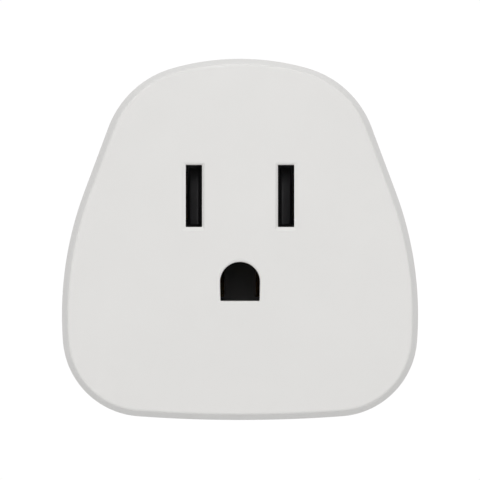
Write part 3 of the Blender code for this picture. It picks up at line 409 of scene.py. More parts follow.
def rounded_rectangle(centre, width, height, radius, steps=8):
    half_width = width / 2 - radius
    half_height = height / 2 - radius
    points = []
    for side, rise, start in ((1, 1, 0), (-1, 1, 90), (-1, -1, 180), (1, -1, 270)):
        corner = (centre[0] + side * half_width, centre[1] + rise * half_height)
        points += arc(corner, radius, start, start + 90, steps)
    return points


def rolled_edge(radius, steps):
    """A rounded edge as pairs (inset, distance below the flat side), from the flat side on."""
    turns = reversed(swings(steps))
    return [(radius * (1 - math.cos(turn)), radius * (1 - math.sin(turn))) for turn in turns]


def bevelled(mesh, width, segments=2):
    """Rounds the edges of a bmesh that turn by more than 30 degrees."""
    sharp = [e for e in mesh.edges if e.is_manifold and e.calc_face_angle() > math.radians(30)]
    bmesh.ops.bevel(
        mesh, geom=sharp, offset=width, segments=segments, profile=0.5, affect="EDGES", clamp_overlap=True
    )
    return mesh


def carved(mesh, steps):
    """A bmesh joined with or cut by others, in order. steps holds ("UNION" or "DIFFERENCE", bmesh)."""
    target = object_from("target", mesh)
    tools = []
    for operation, tool_mesh in steps:
        tools.append(object_from("tool", tool_mesh))
        modifier = target.modifiers.new("step", "BOOLEAN")
        modifier.operation = operation
        modifier.object = tools[-1]
    evaluated = target.evaluated_get(bpy.context.evaluated_depsgraph_get())
    result = bmesh.new()
    result.from_mesh(evaluated.to_mesh())
    evaluated.to_mesh_clear()
    for used in [target, *tools]:
        data = used.data
        bpy.data.objects.remove(used)
        bpy.data.meshes.remove(data)
    bmesh.ops.remove_doubles(result, verts=result.verts, dist=1e-7)
    return result


def cut(mesh, *tools):
    """A bmesh with others cut out of it."""
    return carved(mesh, [("DIFFERENCE", tool) for tool in tools])


def softened(name, width, material, segments=2, body="case"):
    """The solid of a node with its edges rounded, as a piece that stands for it."""
    mesh = bmesh.new()
    mesh.from_mesh(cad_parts[name].data)
    bmesh.ops.remove_doubles(mesh, verts=mesh.verts, dist=1e-6)
    bmesh.ops.dissolve_limit(mesh, angle_limit=math.radians(1), verts=mesh.verts, edges=mesh.edges)
    bevelled(mesh, width, segments)
    return piece(name + "_part", mesh, material, name, body=body)


def strip(path, thickness):
    """The outline of a metal strip of this thickness bent along a path, mitred at its bends."""
    path = [Vector(point) for point in path]
    sides = []
    for i, point in enumerate(path):
        before = (point - path[i - 1]).normalized() if i > 0 else None
        after = (path[i + 1] - point).normalized() if i < len(path) - 1 else None
        before = before or after
        after = after or before
        heading = (before + after).normalized()
        normal = Vector((-heading.y, heading.x))
        reach = thickness / 2 / max(0.3, normal.dot(Vector((-after.y, after.x))))
        sides.append((point + normal * reach, point - normal * reach))
    return [tuple(left) for left, _ in sides] + [tuple(right) for _, right in reversed(sides)]


def round_wire(path, radius, outward, sides, mesh=None):
    """A round wire along a path. outward gives a direction across the path at each of its points."""
    rings = []
    for i, point in enumerate(path):
        ahead = (path[min(i + 1, len(path) - 1)] - path[max(i - 1, 0)]).normalized()
        first = outward(point)
        second = ahead.cross(first).normalized()
        turns = [2 * math.pi * k / sides for k in range(sides)]
        rings.append([point + radius * (math.cos(a) * first + math.sin(a) * second) for a in turns])
    return lofted(rings, mesh)


# ---------------------------------------------------------------- case


def case_outline(inset):
    """(x, z) points of the case outline moved inwards by inset, clockwise from the top centre."""
    place = Vector((0.0, CASE_TOP))
    heading = 0.0
    half = [(place.copy(), heading)]

    def sweep(radius, until, steps):
        nonlocal place, heading
        centre = place - radius * Vector((math.sin(heading), math.cos(heading)))
        start = heading
        for i in range(1, steps + 1):
            heading = start + (until - start) * i / steps
            place = centre + radius * Vector((math.sin(heading), math.cos(heading)))
            half.append((place.copy(), heading))

    sweep(TOP_RADIUS, SHOULDER_START, 14)
    sweep(SHOULDER_RADIUS, FLANK_START, 32)
    start = place.copy()
    for i in range(1, 7):
        place = start + FLANK_LENGTH * i / 6 * Vector((math.cos(heading), -math.sin(heading)))
        half.append((place.copy(), heading))
    sweep(FLANK_RADIUS, CORNER_START, 24)
    sweep(CORNER_RADIUS, BOTTOM_START, 40)
    sweep(place.x / math.sin(math.pi - BOTTOM_START), math.pi, 14)

    inner = [point - inset * Vector((math.sin(turn), math.cos(turn))) for point, turn in half]
    right = [(point.x, point.y) for point in inner]
    left = [(-x, z) for x, z in reversed(right[1:-1])]
    right[0] = (0.0, right[0][1])
    right[-1] = (0.0, right[-1][1])
    return right + left


def case_body(stations):
    """A body with the case's outline, from (inset, depth) pairs."""
    return stacked("Y", case_outline, [(inset, depth_y(depth)) for inset, depth in stations])


def front_inset(depth):
    return FRONT_DRAFT * (PARTING_DEPTH - depth) / (PARTING_DEPTH - FACE_FILLET)


def rear_inset(depth):
    return REAR_DRAFT * (depth - PARTING_DEPTH) / (BODY_DEPTH - BACK_FILLET - PARTING_DEPTH)


def flank_x(z, inset):
    """Half the case's width at a height, for an outline moved inwards by inset."""
    points = [p for p in case_outline(inset) if p[0] >= 0]
    for (x0, z0), (x1, z1) in zip(points, points[1:]):
        if z1 <= z <= z0:
            return x0 + (x1 - x0) * (z - z0) / (z1 - z0)
    return 0.0


def sloped(lead, depth):
    """How far a straight slope, given as (width, depth), still stands out at this depth."""
    return lead[0] * max(0.0, 1 - depth / lead[1])


def rolled(radius, depth):
    """How far a quarter-round edge still stands out at this depth."""
    return radius - math.sqrt(radius**2 - max(0.0, radius - depth) ** 2)


def slot_outline(side, depth):
    """A slot's outline at a depth: sloped at its outer, inner and low sides, rolled at its top."""
    outer = side * (BLADE_X + SLOT_WIDTH / 2 + sloped(LEAD_OUTER, depth))
    inner = side * (BLADE_X - SLOT_WIDTH / 2 - sloped(LEAD_INNER, depth))
    low = BLADE_Z - SLOT_HEIGHT / 2 - sloped(LEAD_LOW, depth)
    high = BLADE_Z + SLOT_HEIGHT / 2 + rolled(LEAD_TOP_RADIUS, depth)
    centre = ((outer + inner) / 2, (low + high) / 2)
    return rounded_rectangle(centre, abs(outer - inner), high - low, SLOT_CORNER, 3)


def ground_outline(depth):
    """The ground hole at a depth: a half circle over sides that close in towards a flat bottom."""
    radius = GROUND_HOLE_RADIUS + rolled(GROUND_LEAD_RADIUS, depth)
    rise = GROUND_Z + GROUND_HOLE_RISE
    bottom = rise - GROUND_HOLE_DROP - (radius - GROUND_HOLE_RADIUS) + SLOT_CORNER
    half = radius - GROUND_HOLE_TAPER - SLOT_CORNER
    top = arc((0.0, rise + rolled(GROUND_LEAD_RISE, depth)), radius, 0, 180, 40)
    left = arc((-half, bottom), SLOT_CORNER, 180, 270, 3)
    right = arc((half, bottom), SLOT_CORNER, 270, 360, 3)
    return top + left + right


def outlet_cutter(outline):
    """A cutter for an opening in the outlet face. outline gives the opening's shape at a depth."""
    stations = [(0.0, depth_y(-0.0004))]
    stations += [(depth, depth_y(depth)) for depth in LEAD_DEPTHS]
    stations.append((FACE_WALL, depth_y(FACE_WALL + 0.0005)))
    return stacked("Y", outline, stations)


def guide_ribs():
    """The ribs inside the face that hold the shutter guide's sides, top and bottom, as (x, z) spans."""
    low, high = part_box("shutter_guide")
    gap, rib = 0.0003, 0.0008
    above = (high.z + gap, high.z + gap + rib)
    below = (low.z - gap - rib, low.z - gap)
    beside = (0.0005, 0.0085)
    return (
        ((low.x - gap - rib, low.x - gap), beside),
        ((high.x + gap, high.x + gap + rib), beside),
        ((-0.0040, 0.0040), above),
        ((-0.0090, -0.0050), below),
        ((0.0050, 0.0090), below),
    )


def front_cover(material):
    rim = PARTING_DEPTH - PARTING_GAP / 2
    rebate_inset = TONGUE_OUTSIDE - FIT
    rebate_floor = rim - TONGUE_LENGTH
    inside = WALL + front_inset(FACE_WALL)
    stations = [(FRONT_DRAFT + inset, depth) for inset, depth in rolled_edge(FACE_FILLET, 8)]
    stations += [(front_inset(depth), depth) for depth in (0.0030, 0.0060, 0.0090)]
    stations += [(inset, rim - depth) for inset, depth in reversed(rolled_edge(RIM_FILLET, 4))]
    stations += [
        (rebate_inset, rim),
        (rebate_inset, rebate_floor),
        (WALL + front_inset(rebate_floor), rebate_floor),
        (WALL + front_inset(FACE_WALL + 0.0006), FACE_WALL + 0.0006),
        (inside + 0.00018, FACE_WALL + 0.00018),
        (inside + 0.0006, FACE_WALL),
    ]
    root = FACE_WALL - ROOT
    boss = (
        (BOSS_RADIUS + 0.0014, root),
        (BOSS_RADIUS + 0.0009, FACE_WALL + 0.0001),
        (BOSS_RADIUS + 0.0005, FACE_WALL + 0.0005),
        (BOSS_RADIUS + 0.0003, FACE_WALL + 0.0012),
        (BOSS_RADIUS, BOSS_MEETING_DEPTH - FIT / 2),
    )
    pilot = ((0.0013, 0.0190), (0.0013, 0.0300))
    steps = []
    for spot in SCREW_SPOTS:
        steps.append(("UNION", post(spot, boss, 48)))
        steps.append(("DIFFERENCE", post(spot, pilot, 32)))
    for x, z in guide_ribs():
        steps.append(("UNION", block(x, (depth_y(root), depth_y(0.0070)), z)))
    for outline in (partial(slot_outline, -1), partial(slot_outline, 1), ground_outline):
        steps.append(("DIFFERENCE", outlet_cutter(outline)))
    mesh = carved(case_body(stations), steps)
    piece("front_cover_moulding", mesh, material, "front_cover", 30)


def rear_housing(material):
    start = PARTING_DEPTH + PARTING_GAP / 2
    tip = start - TONGUE_LENGTH
    floor = BODY_DEPTH - BACK_WALL
    inside = WALL + rear_inset(floor)
    stations = [
        (inside + 0.0010, floor),
        (inside + 0.0003, floor - 0.0003),
        (inside, floor - 0.0010),
        (TONGUE_OUTSIDE + TONGUE_THICKNESS, tip),
        (TONGUE_OUTSIDE + 0.0002, tip),
        (TONGUE_OUTSIDE, tip + 0.0002),
        (TONGUE_OUTSIDE, start),
    ]
    stations += [(inset, start + down) for inset, down in rolled_edge(RIM_FILLET, 4)]
    stations += [(rear_inset(depth), depth) for depth in (0.0180, 0.0230, 0.0280, 0.0330)]
    back_edge = reversed(rolled_edge(BACK_FILLET, 10))
    stations += [(REAR_DRAFT + inset, BODY_DEPTH - down) for inset, down in back_edge]

    root = floor + ROOT
    head_height = CASE_SCREW[2]
    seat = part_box("case_screw_1")[1].y - head_height - 0.0001 - FACE_Y
    boss = ((0.0030, BOSS_MEETING_DEPTH + FIT / 2), (0.0032, root))
    bore = (
        (0.0014, 0.0270),
        (0.0014, seat),
        (0.0024, seat),
        (0.0024, BODY_DEPTH - 0.00035),
        (0.00245, BODY_DEPTH - 0.0002),
        (0.0026, BODY_DEPTH - 0.00008),
        (0.0029, BODY_DEPTH + 0.00015),
    )
    board_post = ((0.0020, BOARD_BACK + FIT), (0.0024, root))
    board_pilot = ((0.0011, BOARD_BACK - 0.001), (0.0011, BOARD_BACK + 0.0072))
    pin_hole = (
        (PIN_RADIUS + FIT, floor - 0.001),
        (PIN_RADIUS + FIT, BODY_DEPTH - 0.0002),
        (PIN_RADIUS + FIT + 0.0003, BODY_DEPTH + 0.0001),
    )
    steps = []
    for spot in SCREW_SPOTS:
        steps.append(("UNION", post(spot, boss, 48)))
        steps.append(("DIFFERENCE", post(spot, bore, 64)))
    for spot in BOARD_SCREW_SPOTS:
        steps.append(("UNION", post(spot, board_post, 40)))
        steps.append(("DIFFERENCE", post(spot, board_pilot, 32)))
    for cutter in (
        blade_cutter(-BLADE_X),
        blade_cutter(BLADE_X),
        post((middle("ground_pin").x, GROUND_Z), pin_hole, 64),
        rating_recess_cutter(),
        side_cutter(button_outline, BUTTON_Z),
        side_cutter(light_outline, LIGHT_Z),
    ):
        steps.append(("DIFFERENCE", cutter))
    mesh = carved(case_body(stations), steps)
    piece("rear_housing_moulding", mesh, material, "rear_housing", 30)


def blade_cutter(x):
    """The blade's hole through the back wall, with its edge broken."""

    def outline(extra):
        width = BLADE_THICKNESS + 2 * (FIT + extra)
        height = BLADE_WIDTH + 2 * (FIT + extra)
        return rounded_rectangle((x, BLADE_Z), width, height, 0.0002 + extra, 4)

    stations = ((0.0, WALL_Y - BACK_WALL - 0.001), (0.0, WALL_Y - 0.0002), (0.0003, WALL_Y + 0.0001))
    return stacked("Y", outline, stations)


def rating_recess_cutter():
    """The shallow blank panel above the blades, with sloping sides."""
    rise, width, height, corner = 0.0138, 0.0178, 0.0042, 0.0009

    def outline(extra):
        return rounded_rectangle((0.0, rise), width + 2 * extra, height + 2 * extra, corner + extra)

    stations = ((0.0, WALL_Y - 0.0003), (0.0002, WALL_Y - 0.00002), (0.0003, WALL_Y + 0.0002))
    return stacked("Y", outline, stations)


def button_outline(extra=0.0):
    width, height = (size + 2 * extra for size in BUTTON_SIZE)
    return rounded_rectangle((depth_y(SIDE_DEPTH), BUTTON_Z), width, height, width / 2, 12)


def light_outline(extra=0.0):
    return circle((depth_y(SIDE_DEPTH), LIGHT_Z), PIPE_RADIUS + extra, 40)


def side_cutter(outline, z):
    """A hole through the side wall with a rolled outer edge."""
    lip, inside = 0.00025, 0.0196
    surface = flank_x(z, rear_inset(SIDE_DEPTH))
    stations = [(FIT, inside), (FIT, surface - lip)]
    stations += [(FIT + inset, surface - down) for inset, down in reversed(rolled_edge(lip, 3)[:-1])]
    stations.append((FIT + lip * 1.5, surface + 0.0008))
    return stacked("X", outline, stations)


# ---------------------------------------------------------------- blades, pin and screws


def blade(name, material):
    """A flat stamped blade with a holed, chamfered tip, a shoulder behind the back wall and a tail."""
    low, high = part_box(name)
    half, half_shoulder, half_tail, chamfer = BLADE_WIDTH / 2, 0.0043, 0.0021, 0.0011
    outline = [
        (low.y, -half_tail),
        (depth_y(SHOULDER_FRONT), -half_tail),
        (depth_y(SHOULDER_FRONT), -half_shoulder),
        (depth_y(SHOULDER_BACK), -half_shoulder),
        (depth_y(SHOULDER_BACK), -half),
        (high.y - chamfer, -half),
        (high.y, -half + chamfer),
    ]
    outline += [(y, -z) for y, z in reversed(outline)]
    outline = [(y, z + BLADE_Z) for y, z in outline]
    flat = bevelled(prism("X", outline, low.x, high.x), 0.00022, 4)
    edge = 0.00016
    hole = (
        (BLADE_HOLE_RADIUS + edge, low.x - 0.0001),
        (BLADE_HOLE_RADIUS + edge, low.x),
        (BLADE_HOLE_RADIUS, low.x + edge),
        (BLADE_HOLE_RADIUS, high.x - edge),
        (BLADE_HOLE_RADIUS + edge, high.x),
        (BLADE_HOLE_RADIUS + edge, high.x + 0.0001),
    )
    mesh = cut(flat, turned("X", (BLADE_HOLE_Y, BLADE_Z), hole, 48))
    piece(name + "_stamping", mesh, material, name, 40)


def ground_pin(material):
    """The round ground pin: a bullet nose, a flange behind the back wall and a tail through the board."""
    low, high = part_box("ground_pin")
    front, back, edge = depth_y(SHOULDER_FRONT), depth_y(SHOULDER_BACK), 0.00015
    nose = [(PIN_RADIUS * math.sin(a), high.y - PIN_RADIUS * (1 - math.cos(a))) for a in swings(14)[1:]]
    rest = [
        (PIN_RADIUS, back),
        (PIN_FLANGE_RADIUS - edge, back),
        (PIN_FLANGE_RADIUS, back - edge),
        (PIN_FLANGE_RADIUS, front + edge),
        (PIN_FLANGE_RADIUS - edge, front),
        (PIN_TAIL_RADIUS, front),
        (PIN_TAIL_RADIUS, low.y + edge),
        (PIN_TAIL_RADIUS - edge, low.y),
    ]
    mesh = turned("Y", (0.0, GROUND_Z), nose + rest, 72)
    piece("ground_pin_turning", mesh, material, "ground_pin", 40)


def screw(name, sizes, head_side, material):
    """A thread-forming screw: crowned head, tapered cross recess, helical thread and blunt point."""
    radius, head_radius, head_height, pitch = sizes
    low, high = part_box(name)
    x, z = spot_of(name)
    top, tip = (high.y, low.y) if head_side > 0 else (low.y, high.y)
    under = top - head_side * head_height
    reach_below = abs(under - tip)
    core = radius * 0.72
    sides = 40
    plain = [(head_radius * math.sin(a), 0.5 * head_height * (1 + math.cos(a))) for a in swings(8)[1:]]
    plain += [(head_radius, 0.0001), (head_radius - 0.0001, 0.0), (radius, 0.0), (core, -0.0006)]
    rings = [([reach] * sides, above) for reach, above in plain]
    thread_start = 0.0008
    length = reach_below - thread_start
    steps = int(length / pitch * 8)
    for i in range(steps + 1):
        down = thread_start + (length - thread_start) * i / steps
        fade = min(1.0, down / (2 * pitch), (length + 0.0004 - down) / (1.5 * pitch))
        depth = (radius - core) * max(0.0, fade)
        phases = [(down / pitch - side / sides) % 1.0 for side in range(sides)]
        rings.append(([core + depth * max(0.0, 1 - abs(phase - 0.5) * 3.2) for phase in phases], -down))
    rings += [([core * 0.45] * sides, 0.0001 - reach_below), ([core * 0.15] * sides, -reach_below)]
    points = []
    for reaches, above in rings:
        y = under + head_side * above
        turns = [2 * math.pi * side / sides for side in range(sides)]
        points.append([(x + r * math.cos(a), y, z + r * math.sin(a)) for r, a in zip(reaches, turns)])
    mesh = cut(lofted(points), cross_cutter((x, z), top, head_radius, head_height, head_side))
    piece(name + "_threaded", mesh, material, name, 40)


def cross_cutter(spot, top, head_radius, head_height, head_side):
    """A cross recess that narrows as it goes down."""

    def outline(size):
        arm, half = (part * head_radius for part in size)
        corner = [(arm, -half), (arm, half), (half, half)]
        points = []
        for _ in range(4):
            points += corner
            corner = [(-v, u) for u, v in corner]
        return [(spot[0] + u, spot[1] + v) for u, v in points]

    stations = (((0.60, 0.15), -0.0003), ((0.55, 0.135), 0.0), ((0.30, 0.09), 0.62 * head_height))
    return stacked("Y", outline, [(size, top - head_side * down) for size, down in stations])


# ---------------------------------------------------------------- button and light


def power_button(material):
    """The side button: a pill with a rolled edge and a shallow dish, a flange inside and a stem."""
    low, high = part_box("power_button")
    flange = flank_x(BUTTON_Z, WALL + rear_inset(SIDE_DEPTH)) - FLANGE_SPACE
    flange_width, flange_depth, stem_inset = 0.0006, 0.0009, 0.0002
    dish = ((-0.00160, 0.00016), (-0.00130, 0.00013), (-0.00095, 0.00006), (-0.00065, 0.00001))
    stations = [(extra, high.x - down) for extra, down in dish]
    stations += [(-inset, high.x - down) for inset, down in rolled_edge(0.00045, 6)]
    stations += [
        (0.0, flange),
        (flange_width, flange),
        (flange_width, flange - flange_depth),
        (-stem_inset, flange - flange_depth),
        (-stem_inset, low.x),
    ]
    mesh = stacked("X", button_outline, stations)
    piece("power_button_cap", mesh, material, "power_button", body="button")


def light_pipe(material):
    """The clear rod, its flange inside the wall and a slightly domed end outside."""
    low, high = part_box("light_pipe")
    flange = flank_x(LIGHT_Z, WALL + rear_inset(SIDE_DEPTH)) - FLANGE_SPACE
    flange_radius, flange_depth, edge, dome = 0.0015, 0.0007, 0.00015, 0.0002
    profile = [
        (PIPE_RADIUS - edge, low.x),
        (PIPE_RADIUS, low.x + edge),
        (PIPE_RADIUS, flange - flange_depth),
        (flange_radius, flange - flange_depth),
        (flange_radius, flange),
        (PIPE_RADIUS, flange),
    ]
    profile += [(PIPE_RADIUS * math.cos(a), high.x - dome * (1 - math.sin(a))) for a in swings(8, 80)]
    mesh = turned("X", (depth_y(SIDE_DEPTH), LIGHT_Z), profile, 48)
    piece("light_pipe_rod", mesh, material, "light_pipe", 40)


# ---------------------------------------------------------------- shutters and their springs


def shutter(name, side, material):
    """A plate with a window, a ramp beside it that stands behind the slot, and a spring arm."""
    low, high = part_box(name)
    plate_front, plate_back = depth_y(0.0048), high.y
    plate_low = 0.0012
    plate_sides, window_sides, arm_sides = (0.0042, 0.0114), (0.00725, 0.01025), (0.0054, 0.0074)

    def span(sides):
        return tuple(sorted(side * x for x in sides))

    plate = bevelled(block(span(plate_sides), (plate_front, plate_back), (plate_low, high.z)), 0.00015)
    window = block(span(window_sides), (depth_y(0.0040), depth_y(0.0070)), (0.0017, 0.0103))
    foot = plate_front + 0.0004
    profile = [(0.0055, foot)]
    profile += arc((0.0059, low.y + 0.0004), 0.0004, 180, 280, 8)
    profile += arc((0.00675, low.y + 0.00058), 0.00025, 290, 350, 6)
    profile += [(0.0072, plate_front - 0.0001), (0.0072, foot)]

    def ramp_outline(height):
        return [(side * u, foot - height * (foot - v)) for u, v in profile]

    top, fall = BLADE_Z + SLOT_HEIGHT / 2 + FIT, 0.0050
    stations = [(1.0, BLADE_Z - SLOT_HEIGHT / 2 + 0.0004)]
    stations += [(0.1 + 0.9 * math.cos(a), top - fall * (1 - a / math.radians(90))) for a in swings(8)]
    ramp = stacked("Z", ramp_outline, stations)
    arm = block(span(arm_sides), (depth_y(0.0032), plate_back - 0.0002), (low.z, plate_low + 0.0004))
    mesh = carved(plate, [("DIFFERENCE", window), ("UNION", ramp), ("UNION", bevelled(arm, 0.0002))])
    piece(name + "_slide", mesh, material, name, 40, name)


def shutter_spring(name, side, material):
    """A coil spring with closed ends, running out from the centre post."""
    low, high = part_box(name)
    centre = middle(name)
    wire = 0.00014
    turns, closed = 6.0, 0.8  # turns in all, and turns at each end that lie against each other
    near = side * (low.x if side > 0 else high.x) + wire
    far = side * (high.x if side > 0 else low.x) - wire
    radius = (high.z - low.z) / 2 - wire
    path = []
    for angle in swings(int(turns * 24), 360 * turns):
        turn = angle / (2 * math.pi)
        run = min(max((turn - closed) / (turns - 2 * closed), 0.0), 1.0)
        settle = wire * (min(turn, closed) + max(turn - turns + closed, 0.0))
        x = side * (near + settle + (far - near - 2 * wire * closed) * run)
        path.append(Vector((x, centre.y + radius * math.cos(angle), centre.z + radius * math.sin(angle))))

    def outward(point):
        return Vector((0.0, point.y - centre.y, point.z - centre.z)).normalized()

    mesh = round_wire(path, wire, outward, 10)
    spring = piece(name + "_coil", mesh, material, name, 40)
    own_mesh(spring)


# ---------------------------------------------------------------- relay


def wound(axis, centre, inner, outer, span, turns):
    """A winding whose outside shows each turn of its wire."""
    pitch = (span[1] - span[0]) / turns
    ridge = pitch / 2
    profile = [(inner, span[0])]
    for i in range(turns):
        start = span[0] + pitch * i
        for step in range(6):
            swing = math.pi * (step + 0.5) / 6
            profile.append((outer - ridge + ridge * math.sin(swing), start + ridge * (1 - math.cos(swing))))
    profile.append((inner, span[1]))
    return turned(axis, centre, profile, 48)


def relay(cover_plastic, frame_plastic, iron, copper, brass):
    """The relay's parts with softened edges, and its winding with a bore for the core."""
    softened("relay_cover", 0.0003, cover_plastic)
    softened("relay_base", 0.0001, cover_plastic)
    softened("relay_yoke", 0.0001, iron)
    softened("relay_bobbin", 0.0001, frame_plastic)
    softened("relay_armature", 0.0001, iron, body="armature")
    softened("relay_moving_contact", 0.00006, brass, body="armature")
    softened("relay_fixed_contact", 0.00008, brass)
    softened("relay_common_terminal", 0.00008, brass)
    low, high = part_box("relay_winding")
    centre = ((low.x + high.x) / 2, (low.y + high.y) / 2)
    winding = wound("Z", centre, 0.0024, (high.x - low.x) / 2, (low.z, high.z), 34)
    bore = turned("Z", centre, ((0.00225, low.z - 0.001), (0.00225, high.z + 0.001)), 48)
    piece("relay_winding_coil", cut(winding, bore), copper, "relay_winding", 40)


# ---------------------------------------------------------------- boards and their parts


def lead_spots(name):
    """Where a part's two leads go through the board, as (x, z). The cans take the last case."""
    low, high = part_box(name)
    x, z = spot_of(name)
    if name == "noise_capacitor":
        across, up = 0.005, 0.0
    elif name == "varistor":
        across, up = 0.0025, 0.0006
    elif name == "fuse_resistor":
        across, up = 0.0, (high.z - low.z) / 2 + 0.0012
    else:
        across, up = 0.2 * (high.x - low.x), 0.0
    return [(x - across, z - up), (x + across, z + up)]


def straight_leads(name, start, radius, tin):
    """A part's two leads, from a Y to just behind the board, rounded at their ends."""
    end = depth_y(LEAD_END)
    mesh = bmesh.new()
    stations = ((radius, start), (radius, end - radius / 2), (radius * 0.6, end))
    for spot in lead_spots(name):
        turned("Y", spot, stations, 16, mesh)
    piece(name + "_leads", mesh, tin)


def can_capacitor(name, sleeve, can, rubber, tin):
    """A radial capacitor: shrunk sleeve with a rolled neck, scored can top, rubber plug and two leads."""
    low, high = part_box(name)
    spot = spot_of(name)
    radius = (high.x - low.x) / 2
    top, foot = low.y, high.y
    edge, neck, neck_length = radius * 0.16, foot - 0.0022, 0.001
    profile = [(radius * 0.80, top + 0.00008), (radius * 0.84, top)]
    profile += [(radius - edge + edge * math.sin(a), top + edge * (1 - math.cos(a))) for a in swings(6)[1:]]
    for swing in swings(12, 180):
        narrowed = radius - radius * 0.07 * math.sin(swing) ** 2
        profile.append((narrowed, neck + neck_length * swing / math.pi))
    profile += [(radius, foot - 0.0003), (radius * 0.97, foot - 0.0001), (radius * 0.86, foot - 0.00005)]
    piece(name + "_sleeve", turned("Y", spot, profile, 64), sleeve, name, 40)
    disc = turned("Y", spot, ((radius * 0.8, top + 0.00005), (radius * 0.81, top + 0.0004)), 48)
    score, half_score = radius * 0.55, 0.00012
    grooves = []
    for width, height in ((half_score, score), (score, half_score)):
        x, z = (spot[0] - width, spot[0] + width), (spot[1] - height, spot[1] + height)
        grooves.append(block(x, (top - 0.0001, top + 0.00014), z))
    piece(name + "_can_top", cut(disc, *grooves), can, angle=40)
    plug = turned("Y", spot, ((radius * 0.84, foot - 0.0004), (radius * 0.8, foot - 0.00002)), 48)
    piece(name + "_plug", plug, rubber, angle=40)
    straight_leads(name, foot - 0.0003, 0.00028, tin)


def chip(name, leads, epoxy, tin):
    """A moulded chip on the board's back: drafted body with a dimple at its first lead, bent leads."""
    low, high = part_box(name)
    overhang = 0.0008
    near, far = depth_y(BOARD_BACK + 0.0003), high.y
    z = (low.z + overhang, high.z - overhang)
    mid = (near + far) / 2
    centre = ((low.x + high.x) / 2, (z[0] + z[1]) / 2)

    def outline(inset):
        width, height = high.x - low.x - 2 * inset, z[1] - z[0] - 2 * inset
        return rounded_rectangle(centre, width, height, 0.00015, 3)

    body = stacked("Y", outline, ((0.00012, near), (0.0, mid), (0.00014, far)))
    mark = (low.x + 0.0007, z[1] - 0.0007)
    dimple = turned("Y", mark, ((0.0003, far - 0.00008), (0.00034, far + 0.0001)), 24)
    piece(name + "_body", cut(body, dimple), epoxy, name, 25)
    pitch = (high.x - low.x) / leads
    half_width = pitch * 0.18
    sheet = 0.00016
    foot = depth_y(BOARD_BACK) + sheet / 2
    bends = (  # y, and how far out from the body's edge
        (mid, -0.0002),
        (mid, 0.00022),
        (mid - 0.00006, 0.0003),
        (foot + 0.00006, 0.00042),
        (foot, 0.0005),
        (foot, overhang),
    )
    mesh = bmesh.new()
    for i in range(leads):
        x = low.x + pitch * (i + 0.5)
        for edge, out in ((z[0], -1), (z[1], 1)):
            outline = strip([(y, edge + out * reach) for y, reach in bends], sheet)
            prism("X", outline, x - half_width, x + half_width, mesh)
    piece(name + "_leads", mesh, tin, angle=40)


def choke(ferrite, copper):
    """The ferrite drum with a rim at each end, and the winding between them."""
    low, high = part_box("choke")
    spot = spot_of("choke")
    radius, waist, flange, edge = (high.x - low.x) / 2, 0.0024, 0.0010, 0.00015
    near, far = (low.y, low.y + flange), (high.y - flange, high.y)

    def rim(start, end):
        return [(radius - edge, start), (radius, start + edge), (radius, end - edge), (radius - edge, end)]

    drum = rim(*near) + [(waist, near[1]), (waist, far[0])] + rim(*far)
    piece("choke_drum", turned("Y", spot, drum, 64), ferrite, "choke", 40)
    winding = wound("Y", spot, waist, radius - 0.0003, (near[1], far[0]), 22)
    piece("choke_winding", winding, copper, angle=40)


def varistor(epoxy, tin):
    """The surge disc in its dipped coating, thicker at the middle, on two leads."""
    low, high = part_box("varistor")
    centre = middle("varistor")
    radius, half = (high.x - low.x) / 2, (high.z - low.z) / 2
    profile = []
    for swing in swings(24, 180)[1:-1]:
        reach = math.sin(swing) ** 0.45
        profile.append((radius * reach, centre.z - half * math.cos(swing) * (0.82 + 0.18 * reach)))
    disc = turned("Z", (centre.x, centre.y), profile, 64)
    piece("varistor_disc", disc, epoxy, "varistor", 60)
    straight_leads("varistor", high.y - 0.0022, 0.0003, tin)


def fuse_resistor(body_paint, tin):
    """The fusible resistor: a dog-bone body with painted bands, and leads bent down to the board."""
    low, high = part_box("fuse_resistor")
    centre = middle("fuse_resistor")
    length = high.z - low.z
    profile = []
    for i in range(29):
        part = i / 28
        from_end = min(part, 1 - part)
        bone = 0.0015 if from_end < 0.22 else 0.0013
        swell = min(1.0, 14 * from_end + 0.15)
        profile.append((bone * math.sqrt(swell), low.z + length * part))
    body = turned("Z", (centre.x, centre.y), profile, 40)
    piece("fuse_resistor_body", body, body_paint, "fuse_resistor", 50)
    mesh = bmesh.new()
    bend = 0.0006
    for (_, z), end in zip(lead_spots("fuse_resistor"), (low.z, high.z)):
        out = math.copysign(1, z - end)
        path = [Vector((centre.x, centre.y, end - out * 0.0003))]
        for swing in swings(6):
            y = centre.y + bend * (1 - math.cos(swing))
            path.append(Vector((centre.x, y, z - out * bend * (1 - math.sin(swing)))))
        path.append(Vector((centre.x, depth_y(LEAD_END), z)))
        round_wire(path, 0.0003, lambda point: Vector((1.0, 0.0, 0.0)), 12, mesh)
    piece("fuse_resistor_leads", mesh, tin, angle=50)


def solder_cone(spot, width, height, mesh):
    """Solder round a tail: wide and thin on its pad, drawn in up the tail."""

    def outline(extra):
        size = (width + 2 * extra, height + 2 * extra)
        return rounded_rectangle(spot, *size, min(size) / 2 - 0.00002, 4)

    rise = ((0.00042, 0.0), (0.00038, 0.00008), (0.00024, 0.0002), (0.00014, 0.00036), (0.00006, 0.0005))
    stacked("Y", outline, [(extra, depth_y(BOARD_BACK + up)) for extra, up in rise], mesh)


